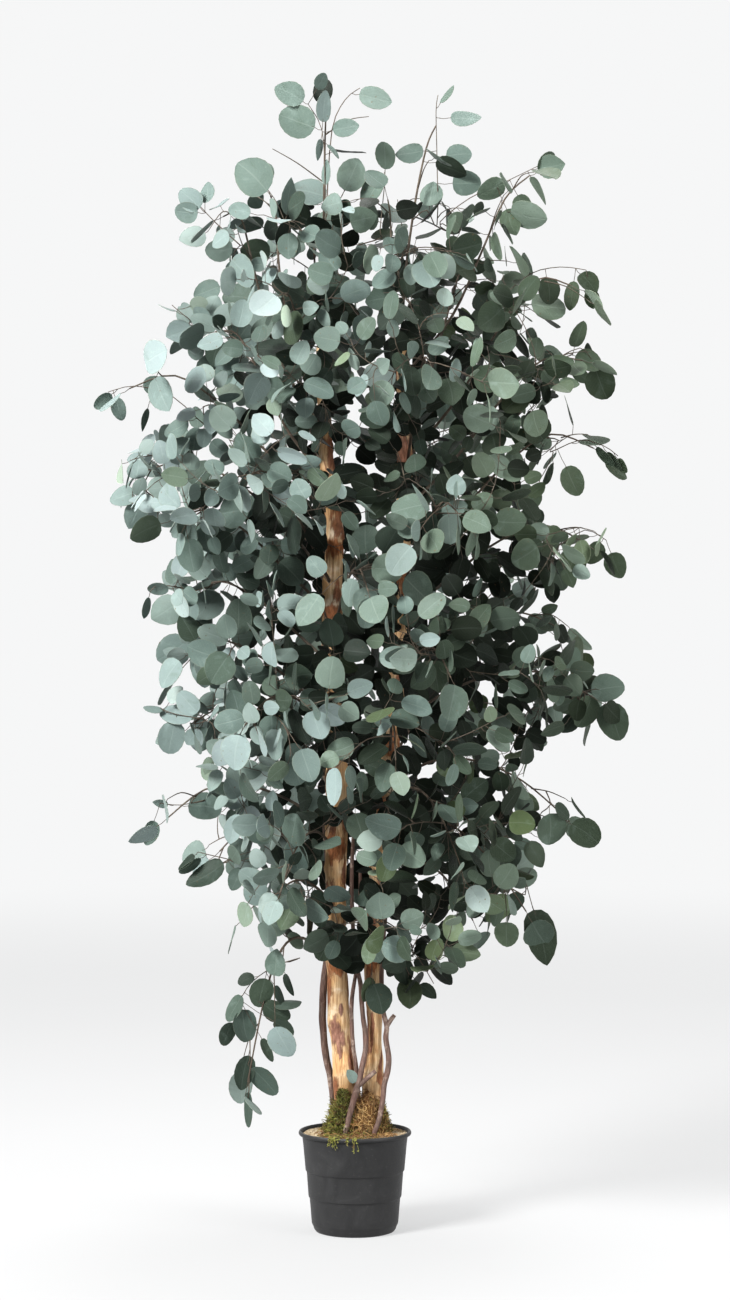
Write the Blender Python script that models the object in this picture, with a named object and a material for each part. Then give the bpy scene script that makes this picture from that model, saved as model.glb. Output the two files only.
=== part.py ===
"""Potted eucalyptus tree: leafy sprays set in two natural trunks, which stand in a filled plastic pot.

Metres, +Z up, the front towards -Y. The origin is the centre of the pot's flat underside.
"""

import math
import random

import bmesh
import bpy
from mathutils import Vector

# Pot and filling
LATHE_SIDES = 20
POT_OUTSIDE = (
    (0.0, 0.0), (0.056, 0.0), (0.0630, 0.0045), (0.0666, 0.013), (0.0708, 0.059), (0.0722, 0.061),
    (0.0752, 0.0975), (0.0768, 0.0995), (0.0808, 0.1385), (0.0856, 0.1405), (0.0873, 0.1465),
    (0.0866, 0.1535), (0.0845, 0.1560),
)
POT_INSIDE = ((0.0822, 0.1535), (0.0786, 0.138), (0.0642, 0.014), (0.0600, 0.0045), (0.0, 0.0045))
FILL_GAP = 0.0006
FILL_TOP = 0.1515
FILL_BOTTOM = 0.0049
SEAT_GAP = 0.0004
HOLE_SWELL = 0.0006
FLAT_DEG = 0.4

# Trunks: x, y, z and radius of hand-placed rings, from the buried foot to the top
TRUNK_SIDES = 8
TRUNK_RINGS = 18
RIPPLE_OVAL = 0.06
RIPPLE_LOBES = 0.05
TRUNKS = {
    "trunk_left": (
        (-0.0140, 0.001, 0.030, 0.0178), (-0.0145, 0.0, 0.150, 0.0176), (-0.0158, 0.0, 0.235, 0.0172),
        (-0.0205, -0.001, 0.285, 0.0148), (-0.0265, -0.002, 0.337, 0.0160), (-0.0275, -0.003, 0.400, 0.0156),
        (-0.0290, -0.005, 0.480, 0.0160), (-0.0290, -0.005, 0.580, 0.0164), (-0.0280, -0.004, 0.700, 0.0158),
        (-0.0335, -0.002, 0.830, 0.0155), (-0.0350, 0.002, 0.980, 0.0148), (-0.0320, 0.004, 1.090, 0.0132),
        (-0.0460, 0.002, 1.210, 0.0112), (-0.0500, 0.0, 1.370, 0.0090),
    ),
    "trunk_right": (
        (0.0240, 0.011, 0.030, 0.0168), (0.0265, 0.012, 0.150, 0.0164), (0.0275, 0.012, 0.230, 0.0152),
        (0.0305, 0.012, 0.285, 0.0118), (0.0308, 0.011, 0.330, 0.0116), (0.0275, 0.010, 0.385, 0.0132),
        (0.0290, 0.009, 0.450, 0.0136), (0.0400, 0.010, 0.570, 0.0140), (0.0520, 0.012, 0.710, 0.0136),
        (0.0640, 0.010, 0.860, 0.0128), (0.0730, 0.006, 1.030, 0.0118), (0.0770, 0.004, 1.210, 0.0102),
        (0.0720, 0.004, 1.370, 0.0088),
    ),
}

# Thin side stems that climb beside the trunks, and the cut stubs on two of them
VINE_SIDES = 5
VINES = {
    "side_stem_left": (
        ((-0.0295, 0.0225, 0.060, 0.0048), (-0.0300, 0.0220, 0.150, 0.0050), (-0.0340, 0.0210, 0.200, 0.0052),
         (-0.0380, 0.0190, 0.234, 0.0054), (-0.0440, 0.0150, 0.262, 0.0056), (-0.0478, 0.0110, 0.290, 0.0054),
         (-0.0505, 0.0085, 0.330, 0.0056), (-0.0495, 0.0095, 0.362, 0.0056), (-0.0475, 0.0120, 0.392, 0.0054),
         (-0.0440, 0.0160, 0.422, 0.0050), (-0.0410, 0.0200, 0.500, 0.0044), (-0.0440, 0.0210, 0.580, 0.0040),
         (-0.0500, 0.0180, 0.660, 0.0034)),
        None,
    ),
    "side_stem_slim": (
        ((0.0060, -0.0100, 0.090, 0.0030), (0.0060, -0.0100, 0.150, 0.0030), (0.0060, -0.0105, 0.200, 0.0030),
         (0.0040, -0.0130, 0.238, 0.0031), (0.0010, -0.0165, 0.262, 0.0032), (-0.0030, -0.0195, 0.292, 0.0032),
         (-0.0050, -0.0215, 0.330, 0.0032), (-0.0048, -0.0205, 0.360, 0.0032), (0.0, -0.0130, 0.392, 0.0030),
         (0.0060, 0.0, 0.425, 0.0030), (0.0075, 0.0040, 0.465, 0.0028), (0.0080, 0.0, 0.560, 0.0026)),
        None,
    ),
    "side_stem_forked": (
        ((-0.0150, -0.0330, 0.090, 0.0044), (-0.0150, -0.0330, 0.150, 0.0044), (-0.0100, -0.0315, 0.175, 0.0046),
         (-0.0040, -0.0280, 0.200, 0.0048), (0.0035, -0.0240, 0.226, 0.0048), (0.0100, -0.0210, 0.252, 0.0042),
         (0.0160, -0.0150, 0.282, 0.0040), (0.0160, -0.0120, 0.308, 0.0040), (0.0120, -0.0110, 0.335, 0.0038),
         (0.0100, -0.0120, 0.362, 0.0036), (0.0085, -0.0150, 0.385, 0.0036), (0.0030, -0.0200, 0.412, 0.0034),
         (-0.0030, -0.0240, 0.470, 0.0032), (-0.0050, -0.0250, 0.560, 0.0030), (0.0, -0.0280, 0.640, 0.0028)),
        ((0.0035, -0.0240, 0.226, 0.0038), (0.0170, -0.0225, 0.238, 0.0038), (0.0320, -0.0210, 0.250, 0.0032)),
    ),
    "side_stem_right": (
        ((0.0290, -0.0310, 0.090, 0.0038), (0.0290, -0.0310, 0.150, 0.0038), (0.0360, -0.0270, 0.172, 0.0040),
         (0.0425, -0.0200, 0.203, 0.0040), (0.0455, -0.0150, 0.228, 0.0042), (0.0512, -0.0100, 0.252, 0.0044),
         (0.0520, -0.0080, 0.272, 0.0044), (0.0478, -0.0070, 0.298, 0.0042), (0.0490, -0.0070, 0.318, 0.0040),
         (0.0435, -0.0080, 0.342, 0.0038), (0.0410, -0.0090, 0.375, 0.0036), (0.0430, -0.0110, 0.440, 0.0034),
         (0.0500, -0.0120, 0.520, 0.0030)),
        ((0.0490, -0.0070, 0.316, 0.0036), (0.0545, -0.0080, 0.326, 0.0036), (0.0610, -0.0090, 0.335, 0.0032)),
    ),
}

# Moss mound round the foot of the trunks: its centre, its halves' split and its rings as (share of radius, height)
MOSS_CENTRE = (0.004, 0.004)
MOSS_RADIUS = (0.047, 0.035)
MOSS_SPLIT_X = 0.0
MOSS_STEPS = 16
MOSS_BOTTOM = FILL_TOP + 0.0003
MOSS_RINGS = ((0.97, 0.014), (0.90, 0.032), (0.78, 0.050), (0.56, 0.062), (0.28, 0.070))
MOSS_CLEARANCE = 0.0007
MOSS_CUTTER_REACH = 0.2
# Unevenness of the mound, as shares of its radius and of its height
MOSS_LUMPS = 0.06
MOSS_DENTS = 0.04
MOSS_WAVES = 0.06

# Sprays: trunk, height of the socket, tip, rise of the arch near the tip, number of side twigs.
# A socket height of None puts the spray upright in the trunk's top.
SPRAYS = {
    "spray_leader_left": ("trunk_left", None, (-0.045, -0.010, 1.725), 0.00, 3),
    "spray_leader_right": ("trunk_right", None, (0.126, 0.010, 1.715), 0.00, 3),
    "spray_top_left": ("trunk_left", 1.325, (-0.130, -0.030, 1.600), 0.00, 2),
    "spray_top_arch": ("trunk_left", 1.255, (-0.205, 0.020, 1.575), 0.09, 2),
    "spray_top_back": ("trunk_left", 1.295, (-0.070, 0.150, 1.580), 0.02, 2),
    "spray_top_right": ("trunk_right", 1.330, (0.270, 0.000, 1.635), 0.00, 2),
    "spray_top_middle": ("trunk_right", 1.300, (0.050, -0.120, 1.580), 0.02, 2),
    "spray_top_right_back": ("trunk_right", 1.270, (0.190, 0.130, 1.520), 0.03, 2),
    "spray_left_a": ("trunk_left", 1.170, (-0.215, -0.030, 1.390), 0.05, 3),
    "spray_left_b": ("trunk_left", 1.110, (-0.345, -0.060, 1.300), 0.09, 1),
    "spray_left_c": ("trunk_left", 1.040, (-0.325, 0.030, 1.180), 0.06, 3),
    "spray_left_d": ("trunk_left", 0.960, (-0.275, -0.080, 1.100), 0.06, 3),
    "spray_left_e": ("trunk_left", 0.880, (-0.262, 0.070, 0.990), 0.06, 2),
    "spray_left_f": ("trunk_left", 0.800, (-0.255, -0.050, 0.895), 0.06, 2),
    "spray_left_g": ("trunk_left", 0.700, (-0.255, 0.030, 0.785), 0.07, 2),
    "spray_left_h": ("trunk_left", 0.620, (-0.290, -0.030, 0.640), 0.09, 1),
    "spray_left_i": ("trunk_left", 0.555, (-0.212, 0.040, 0.585), 0.08, 2),
    "spray_left_j": ("trunk_left", 0.505, (-0.125, -0.110, 0.505), 0.07, 2),
    "spray_left_low": ("trunk_left", 0.425, (-0.165, -0.030, 0.235), 0.19, 2),
    "spray_right_a": ("trunk_right", 1.200, (0.335, 0.000, 1.465), 0.09, 2),
    "spray_right_b": ("trunk_right", 1.120, (0.350, -0.040, 1.345), 0.06, 3),
    "spray_right_c": ("trunk_right", 1.030, (0.372, 0.030, 1.215), 0.09, 1),
    "spray_right_d": ("trunk_right", 0.950, (0.360, -0.040, 1.060), 0.09, 2),
    "spray_right_e": ("trunk_right", 0.860, (0.320, 0.070, 0.935), 0.06, 2),
    "spray_right_f": ("trunk_right", 0.780, (0.370, -0.030, 0.825), 0.08, 3),
    "spray_right_g": ("trunk_right", 0.690, (0.322, 0.040, 0.645), 0.08, 2),
    "spray_right_h": ("trunk_right", 0.610, (0.262, -0.060, 0.500), 0.10, 2),
    "spray_right_i": ("trunk_right", 0.545, (0.185, 0.060, 0.475), 0.08, 2),
    "spray_right_low": ("trunk_right", 0.480, (0.085, -0.070, 0.425), 0.08, 2),
    "spray_front_a": ("trunk_left", 1.215, (-0.110, -0.250, 1.420), 0.06, 2),
    "spray_front_b": ("trunk_right", 1.160, (0.110, -0.270, 1.320), 0.06, 2),
    "spray_front_c": ("trunk_left", 1.000, (-0.160, -0.280, 1.150), 0.06, 2),
    "spray_front_d": ("trunk_right", 0.990, (0.150, -0.280, 1.100), 0.06, 2),
    "spray_front_e": ("trunk_left", 0.920, (0.020, -0.310, 0.985), 0.08, 2),
    "spray_front_f": ("trunk_right", 0.820, (0.140, -0.290, 0.860), 0.08, 2),
    "spray_front_g": ("trunk_left", 0.760, (-0.160, -0.260, 0.790), 0.07, 2),
    "spray_front_h": ("trunk_right", 0.735, (0.060, -0.290, 0.740), 0.08, 2),
    "spray_front_i": ("trunk_right", 0.650, (0.150, -0.220, 0.600), 0.09, 2),
    "spray_front_j": ("trunk_left", 0.585, (-0.110, -0.200, 0.540), 0.09, 2),
    "spray_back_a": ("trunk_left", 1.140, (-0.120, 0.260, 1.350), 0.06, 2),
    "spray_back_b": ("trunk_right", 1.080, (0.130, 0.270, 1.240), 0.06, 2),
    "spray_back_c": ("trunk_left", 0.985, (-0.160, 0.280, 1.080), 0.06, 2),
    "spray_back_d": ("trunk_right", 0.905, (0.060, 0.300, 0.980), 0.07, 2),
    "spray_back_e": ("trunk_right", 0.720, (0.170, 0.260, 0.790), 0.08, 2),
    "spray_back_f": ("trunk_left", 0.660, (-0.130, 0.260, 0.720), 0.08, 2),
    "spray_back_g": ("trunk_left", 0.530, (-0.010, 0.210, 0.530), 0.09, 2),
}
STEM_BUTT_RADIUS = 0.0034
STEM_TIP_RADIUS = 0.0018
STEM_STEPS = 4
BUTT_SHARE = 0.25
EXIT_RUN = 0.008
ROOT_RISE_DEG = 38.0
LEADER_DEPTH = 0.014
SOCKET_SIDES = 5
SOCKET_GAP = 0.0004
TWIG_RADIUS = 0.0017
TWIG_LENGTH = (0.075, 0.125)
TWIG_BEND_SHARE = 0.52
TWIG_DROOP = (0.05, 0.35)

# Second and third points of a stem's curve: run along the root as a share of its reach, and pull back from the tip
ROOT_PULL = 0.36
TIP_PULL = 0.30
BUTT_TO_TRUNK = 0.42
# Loosest changes tried to bend a stem clear: turn in radians, lift and swing in metres
LOOSE_TURN = 0.7
LOOSE_LIFT = 0.08
LOOSE_SWING = 0.09

# Where twigs and leaves leave the main stem, as shares of its length outside the trunk
TWIG_SHARES = (0.30, 0.57, 0.81)
LEAF_SHARES = (0.42, 0.69)
TWIG_LEAF_SHARE = 0.4

# Leaves: petiole, blade length, width as a share of the length, thickness, droop of the blade in radians
PETIOLE = (0.015, 0.024)
PETIOLE_HALF_WIDTH = 0.0007
LEAF_LENGTH = (0.042, 0.060)
LEAF_WIDTH_SHARE = (0.74, 0.96)
LEAF_THICKNESS = 0.0009
LEAF_DROOP = (0.15, 1.1)
# How much a blade faces away from the trunks, at random and up
FACING = (0.55, 0.75, 0.25)
# Cross-bars of the blade: share of its length, half width as a share of its width, share of its bend
LEAF_BARS = ((0.0, 0.020, 0.0), (0.21, 0.425, 0.025), (0.68, 0.455, 0.040))

# Clearance is kept on a grid of cells: a cell near a solid is taken
CELL = 0.007
SAMPLE = 0.0045
STEM_CLEAR_FROM = 0.035
TWIG_CLEAR_FROM = 0.020
SHARED = "shared"
SEED = 4100
TRIES = 90

UP = Vector((0.0, 0.0, 1.0))
NUDGE = Vector((1e-4, 0.0, 0.0))
CORNERS = ((1, 1), (-1, 1), (-1, -1), (1, -1))
TUBE_ACROSS = (0.31, 0.94, 0.13)


def unit(vector):
    return Vector(vector).normalized()


def catmull_rom(rings, share):
    """Point and radius at a share of the way along hand-placed (x, y, z, radius) rings."""
    span = share * (len(rings) - 1)
    i = min(int(span), len(rings) - 2)
    t = span - i
    a, b, c, d = (rings[min(max(i + k, 0), len(rings) - 1)] for k in (-1, 0, 1, 2))
    mixed = [
        0.5 * (2 * q + (r - p) * t + (2 * p - 5 * q + 4 * r - s) * t * t + (3 * q - p - 3 * r + s) * t**3)
        for p, q, r, s in zip(a, b, c, d)
    ]
    return Vector(mixed[:3]), mixed[3]


def smooth_path(rings, count):
    return [catmull_rom(rings, k / (count - 1)) for k in range(count)]


def trunk_at(name, height):
    """Centre and radius of a trunk at a height above the pot's underside."""
    low, high = 0.0, 1.0
    for _ in range(40):
        middle = (low + high) / 2
        if catmull_rom(TRUNKS[name], middle)[0].z < height:
            low = middle
        else:
            high = middle
    return catmull_rom(TRUNKS[name], low)


def bezier(points, t):
    a, b, c, d = points
    s = 1 - t
    return a * s**3 + b * (3 * s * s * t) + c * (3 * s * t * t) + d * t**3


def cut_curve(points, steps):
    return [bezier(points, k / steps) for k in range(steps + 1)]


def spot(line, share):
    """Point and direction at a share of the way along a polyline of even steps."""
    span = share * (len(line) - 1)
    i = min(int(span), len(line) - 2)
    return line[i].lerp(line[i + 1], span - i), unit(line[i + 1] - line[i])


def cell_of(point):
    return tuple(math.floor(x / CELL) for x in point)


class Space:
    """The taken cells, each with the name of what took it."""

    def __init__(self):
        self.owner = {}

    def take(self, points, owner):
        near = {
            (i + a, j + b, k + c)
            for i, j, k in {cell_of(p) for p in points}
            for a in (-1, 0, 1)
            for b in (-1, 0, 1)
            for c in (-1, 0, 1)
        }
        for cell in near:
            if self.owner.setdefault(cell, owner) != owner:
                self.owner[cell] = SHARED

    def clear(self, points, *passing):
        """True if each point lies in a free cell or in one that a passing owner alone has taken."""
        return all(self.owner.get(cell_of(p)) in (None, *passing) for p in points)


def along(points, step):
    """Points a step or less apart on a polyline."""
    found = []
    for a, b in zip(points, points[1:]):
        count = max(1, math.ceil((b - a).length / step))
        found += [a.lerp(b, k / count) for k in range(count)]
    return found + [points[-1]]


def take_wood(space, name, rings):
    """Takes the cells inside a trunk or a side stem."""
    for centre, radius in smooth_path(rings, 4 * len(rings) + 60):
        reach = max(radius - CELL / 2, 0.0)
        discs = [centre]
        for share in (0.5, 1.0):
            for k in range(10):
                turn = math.tau * k / 10
                discs.append(centre + Vector((math.cos(turn), math.sin(turn), 0.0)) * reach * share)
        space.take(discs, name)


def stem_route(spec, turn, lift, swing):
    """Butt, outer polyline and butt radius of a spray's main stem."""
    trunk, height, tip, rise, _ = spec
    tip = Vector(tip)
    if height is None:
        centre, radius = catmull_rom(TRUNKS[trunk], 1.0)
        start = UP
        butt = centre - start * LEADER_DEPTH
        leave = centre + start * EXIT_RUN
    else:
        centre, radius = trunk_at(trunk, height)
        away = tip - centre
        heading = math.atan2(away.y, away.x) + turn
        flat = Vector((math.cos(heading), math.sin(heading), 0.0))
        slope = math.radians(ROOT_RISE_DEG)
        start = flat * math.cos(slope) + UP * math.sin(slope)
        butt = centre + flat * radius * BUTT_SHARE
        leave = butt + start * ((1 - BUTT_SHARE) * radius / math.cos(slope) + EXIT_RUN)
    back = Vector((leave.x - tip.x, leave.y - tip.y, 0.0))
    second = leave + start * (tip - leave).length * ROOT_PULL
    third = tip + back * TIP_PULL + UP * (rise + lift) + Vector(swing)
    return butt, cut_curve((leave, second, third, tip), STEM_STEPS), min(STEM_BUTT_RADIUS, BUTT_TO_TRUNK * radius)


def plan_stems(space):
    """Routes the main stems one by one, each bent clear of what is there."""
    stems = {}
    for index, (name, spec) in enumerate(SPRAYS.items()):
        draw = random.Random(SEED + index)
        for attempt in range(TRIES):
            wide = attempt / TRIES
            turn = draw.uniform(-LOOSE_TURN, LOOSE_TURN) * wide
            lift = draw.uniform(-LOOSE_LIFT, LOOSE_LIFT) * wide
            swing = [draw.uniform(-LOOSE_SWING, LOOSE_SWING) * wide for _ in range(3)]
            butt, line, radius = stem_route(spec, turn, lift, swing)
            points = along(line, SAMPLE)
            near = [p for p in points if (p - line[0]).length <= STEM_CLEAR_FROM]
            if space.clear(points[len(near):]) and space.clear(near, spec[0]):
                break
        else:
            print("no clear route for", name)
        space.take(points, name)
        stems[name] = (butt, line, radius)
    return stems


def plan_twigs(space, name, line, count, draw):
    """Side twigs of a spray: short shoots that leave the main stem and droop."""
    twigs = []
    for k, share in enumerate(TWIG_SHARES[len(TWIG_SHARES) - count:]):
        root, ahead = spot(line, share)
        side = unit(ahead.cross(UP) + NUDGE)
        for attempt in range(TRIES):
            sign = 1 if (k + attempt) % 2 else -1
            length = draw.uniform(*TWIG_LENGTH) * (1 - 0.3 * share)
            first = unit(ahead * draw.uniform(0.35, 0.8) + side * sign * draw.uniform(0.5, 0.9)
                         + UP * draw.uniform(-0.25, 0.45))
            middle = root + first * length * TWIG_BEND_SHARE
            rest = first * (1 - TWIG_BEND_SHARE) - UP * draw.uniform(*TWIG_DROOP)
            twig = [root, middle, middle + rest * length]
            points = along(twig, SAMPLE)
            near = [p for p in points if (p - root).length <= TWIG_CLEAR_FROM]
            if space.clear(points[len(near):]) and space.clear(near, name):
                space.take(points, name)
                twigs.append(twig)
                break
    return twigs


def random_unit(draw):
    return unit([draw.gauss(0.0, 1.0) for _ in range(3)])


def make_leaf(root, stalk, draw, size):
    """A leaf on a stalk: it mostly faces away from the trunks, and its blade droops from the stalk."""
    away, loose, up = FACING
    facing = unit((root.x, root.y, 0.0)) * away + random_unit(draw) * loose + UP * up
    side = unit(facing.cross(stalk) + NUDGE)
    side = unit(side - stalk * side.dot(stalk))
    face = stalk.cross(side)
    droop = draw.uniform(*LEAF_DROOP)
    return {
        "root": root,
        "stalk": stalk,
        "side": side,
        "blade": stalk * math.cos(droop) - face * math.sin(droop),
        "face": face * math.cos(droop) + stalk * math.sin(droop),
        "petiole": draw.uniform(*PETIOLE),
        "length": draw.uniform(*LEAF_LENGTH) * size,
        "width": draw.uniform(*LEAF_WIDTH_SHARE),
        "bend": draw.uniform(-1.2, 1.2),
    }


def leaf_points(leaf):
    """Points over a leaf's stalk, and over its blade."""
    base = leaf["root"] + leaf["stalk"] * leaf["petiole"]
    stalk = along([leaf["root"], base], SAMPLE)
    length, half = leaf["length"], leaf["length"] * leaf["width"] * 0.5
    rows = math.ceil(length / SAMPLE)
    blade = []
    for i in range(rows + 1):
        t = i / rows
        reach = half * 0.94 * math.sqrt(max(0.0, 1 - (2 * t - 1) ** 2))
        columns = max(1, math.ceil(2 * reach / SAMPLE))
        lift = leaf["face"] * (leaf["bend"] * length * 0.16 * t * (1 - t))
        for j in range(columns + 1):
            blade.append(base + leaf["blade"] * length * t + leaf["side"] * reach * (2 * j / columns - 1) + lift)
    return stalk, blade


def try_leaf(space, name, root, aim, draw, size=1.0):
    """A leaf that is clear of everything, or None. aim gives the stalk's direction for a looseness of 0 to 1."""
    for attempt in range(TRIES):
        leaf = make_leaf(root, aim(attempt / TRIES), draw, size)
        stalk, blade = leaf_points(leaf)
        if space.clear(stalk, name) and space.clear(blade):
            space.take(blade + stalk, name)
            return leaf
    return None


def plan_leaves(space, name, line, twigs, draw):
    """The leaves of a spray: one at each tip, then those on the sides of its stem and of its first twig."""
    tips, sides = [], []
    for end, size in [(line, 0.9)] + [(twig, 0.95) for twig in twigs]:
        tip, ahead = spot(end, 1.0)

        def onward(loose):
            return unit(ahead + random_unit(draw) * (0.2 + loose) - UP * 0.15)

        tips.append(try_leaf(space, name, tip, onward, draw, size))
    for end, share in [(line, share) for share in LEAF_SHARES] + [(twig, TWIG_LEAF_SHARE) for twig in twigs[:1]]:
        root, ahead = spot(end, share)
        across, up = stem_axes(end, ahead)

        def aim(loose):
            out = draw.choice((across, -across, up, -up))
            return unit(out + ahead * draw.uniform(-0.1, 0.9) + random_unit(draw) * 0.3 * loose)

        sides.append(try_leaf(space, name, root, aim, draw))
    return tips, [leaf for leaf in sides if leaf]


def stem_axes(line, ahead):
    """The two axes square to a stem, the first of them level."""
    across = unit((line[-1] - line[0]).cross(UP) + NUDGE)
    across = unit(across - ahead * across.dot(ahead))
    return across, ahead.cross(across)


def plan_sprays():
    """Every spray as its butt, polyline, radius, twigs, tip leaves and side leaves, none of which cross."""
    space = Space()
    for name, rings in TRUNKS.items():
        take_wood(space, name, rings)
    for name, (rings, stub) in VINES.items():
        take_wood(space, name, rings)
    stems = plan_stems(space)
    draws = {name: random.Random(SEED + 500 + i) for i, name in enumerate(SPRAYS)}
    twigs = {
        name: plan_twigs(space, name, stems[name][1], spec[4], draws[name]) for name, spec in SPRAYS.items()
    }
    return {
        name: stems[name] + (twigs[name], *plan_leaves(space, name, stems[name][1], twigs[name], draws[name]))
        for name in SPRAYS
    }


def material(name, colour, roughness):
    made = bpy.data.materials.new(name)
    made.use_nodes = True
    shader = made.node_tree.nodes["Principled BSDF"]
    shader.inputs["Base Color"].default_value = (*colour, 1.0)
    shader.inputs["Roughness"].default_value = roughness
    shader.inputs["Metallic"].default_value = 0.0
    return made


def add_object(name, points, faces, finish=None, collection=None):
    mesh = bpy.data.meshes.new(name)
    mesh.from_pydata([tuple(p) for p in points], [], faces)
    mesh.update()
    obj = bpy.data.objects.new(name, mesh)
    (collection or bpy.context.scene.collection).objects.link(obj)
    if finish:
        mesh.materials.append(finish)
    return obj


def tube_mesh(path, sides, swell=0.0, ripple=None, flat=False):
    """Points and faces of a closed tube round a path of (centre, radius). ripple shapes its outline.

    A flat tube keeps one set of axes, so its faces stay plane. The others are split into triangles in one way, so
    that a hole swelled from the same path fits round its wood.
    """
    centres = [p for p, _ in path]
    across = Vector(TUBE_ACROSS)
    whole = centres[-1] - centres[0]
    points, faces = [], []
    for i, (centre, radius) in enumerate(path):
        ahead = unit(whole if flat else centres[min(i + 1, len(path) - 1)] - centres[max(i - 1, 0)])
        across = unit(across - ahead * across.dot(ahead))
        up = ahead.cross(across)
        for k in range(sides):
            turn = math.tau * (k + 0.5) / sides
            reach = radius * (ripple(i, turn) if ripple else 1.0) + swell
            points.append(centre + (across * math.cos(turn) + up * math.sin(turn)) * reach)
    for i in range(len(path) - 1):
        for k in range(sides):
            a, b = i * sides + k, i * sides + (k + 1) % sides
            if flat:
                faces.append((a, b, b + sides, a + sides))
            else:
                faces += [(a, b, b + sides), (a, b + sides, a + sides)]
    last = (len(path) - 1) * sides
    faces.append(tuple(reversed(range(sides))))
    faces.append(tuple(range(last, last + sides)))
    return points, faces


def tube(name, path, sides, finish=None, collection=None, **shape):
    points, faces = tube_mesh(path, sides, **shape)
    return add_object(name, points, faces, finish, collection)


def lathe(name, profile, finish):
    """Solid of revolution from a profile whose first and last points are on the axis."""
    rings = profile[1:-1]
    points = [(0.0, 0.0, profile[0][1])]
    for radius, height in rings:
        for k in range(LATHE_SIDES):
            turn = math.tau * k / LATHE_SIDES
            points.append((radius * math.cos(turn), radius * math.sin(turn), height))
    points.append((0.0, 0.0, profile[-1][1]))
    top, faces = len(points) - 1, []
    for k in range(LATHE_SIDES):
        a, b = 1 + k, 1 + (k + 1) % LATHE_SIDES
        faces.append((0, b, a))
        for i in range(len(rings) - 1):
            low, high = i * LATHE_SIDES, (i + 1) * LATHE_SIDES
            faces.append((a + low, b + low, b + high, a + high))
        high = (len(rings) - 1) * LATHE_SIDES
        faces.append((a + high, b + high, top))
    return add_object(name, points, faces, finish)


def combine(obj, operation, collection):
    """Joins or cuts obj with everything in the collection, which is then removed."""
    modifier = obj.modifiers.new(operation.title(), "BOOLEAN")
    modifier.operation = operation
    modifier.operand_type = "COLLECTION"
    modifier.collection = collection
    modifier.solver = "EXACT"
    graph = bpy.context.evaluated_depsgraph_get()
    graph.update()
    mesh = bpy.data.meshes.new_from_object(obj.evaluated_get(graph))
    obj.modifiers.clear()
    obj.data = mesh
    for other in list(collection.objects):
        bpy.data.objects.remove(other)
    bpy.data.collections.remove(collection)


def new_collection(name):
    made = bpy.data.collections.new(name)
    bpy.context.scene.collection.children.link(made)
    return made


def tidy(obj):
    """Drops loose scraps that a cut left behind, and edges that lie within one face."""
    shape = bmesh.new()
    shape.from_mesh(obj.data)
    bmesh.ops.remove_doubles(shape, verts=shape.verts, dist=1e-6)
    unseen, groups = set(shape.verts), []
    while unseen:
        group, edge = set(), [unseen.pop()]
        while edge:
            vert = edge.pop()
            group.add(vert)
            for link in vert.link_edges:
                other = link.other_vert(vert)
                if other in unseen:
                    unseen.discard(other)
                    edge.append(other)
        groups.append(group)
    groups.sort(key=len)
    for group in groups[:-1]:
        bmesh.ops.delete(shape, geom=list(group), context="VERTS")
    bmesh.ops.dissolve_limit(shape, angle_limit=math.radians(FLAT_DEG), verts=shape.verts, edges=shape.edges)
    shape.to_mesh(obj.data)
    shape.free()


def shade(obj, degrees):
    obj.data.shade_smooth()
    obj.data.set_sharp_from_angle(angle=math.radians(degrees))


def bark_ripple(phase):
    """Uneven outline of a grown trunk."""
    def ripple(ring, turn):
        oval = RIPPLE_OVAL * math.sin(2 * turn + ring * 0.9 + phase)
        return 1 + oval + RIPPLE_LOBES * math.sin(3 * turn - ring * 1.3 + phase)

    return ripple


def square_rings(path, line):
    """Rings of four points round a path of (centre, radius), one face of each level."""
    rings = []
    for i, (centre, radius) in enumerate(path):
        ahead = unit(path[min(i + 1, len(path) - 1)][0] - path[max(i - 1, 0)][0])
        across, up = stem_axes(line, ahead)
        half = radius * math.sqrt(0.5)
        rings.append([centre + across * half * x + up * half * y for x, y in CORNERS])
    return rings


def leaf_rings(leaf):
    """Rings of four points across a blade, and the two points of its tip."""
    base = leaf["root"] + leaf["stalk"] * leaf["petiole"]
    lift = leaf["face"] * LEAF_THICKNESS / 2
    rings = []
    for share, half, bend in LEAF_BARS:
        centre = base + (leaf["blade"] * share + leaf["face"] * leaf["bend"] * bend) * leaf["length"]
        wide = leaf["side"] * half * leaf["length"] * leaf["width"]
        rings.append([centre + wide * x + lift * y for x, y in CORNERS])
    tip = base + leaf["blade"] * leaf["length"]
    return rings, [tip + lift, tip - lift]


def stalk_ring(leaf):
    wide, lift = leaf["side"] * PETIOLE_HALF_WIDTH, leaf["face"] * LEAF_THICKNESS / 2
    return [leaf["root"] + wide * x + lift * y for x, y in CORNERS]


def least_twist(ring, before):
    """How many points further round a ring must be numbered to follow the ring before with the least twist."""
    here, there = sum(ring, Vector()) / 4, sum(before, Vector()) / 4

    def twist(shift):
        return sum((unit(ring[(k + shift) % 4] - here) - unit(before[k] - there)).length for k in range(4))

    return min(range(4), key=twist)


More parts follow.
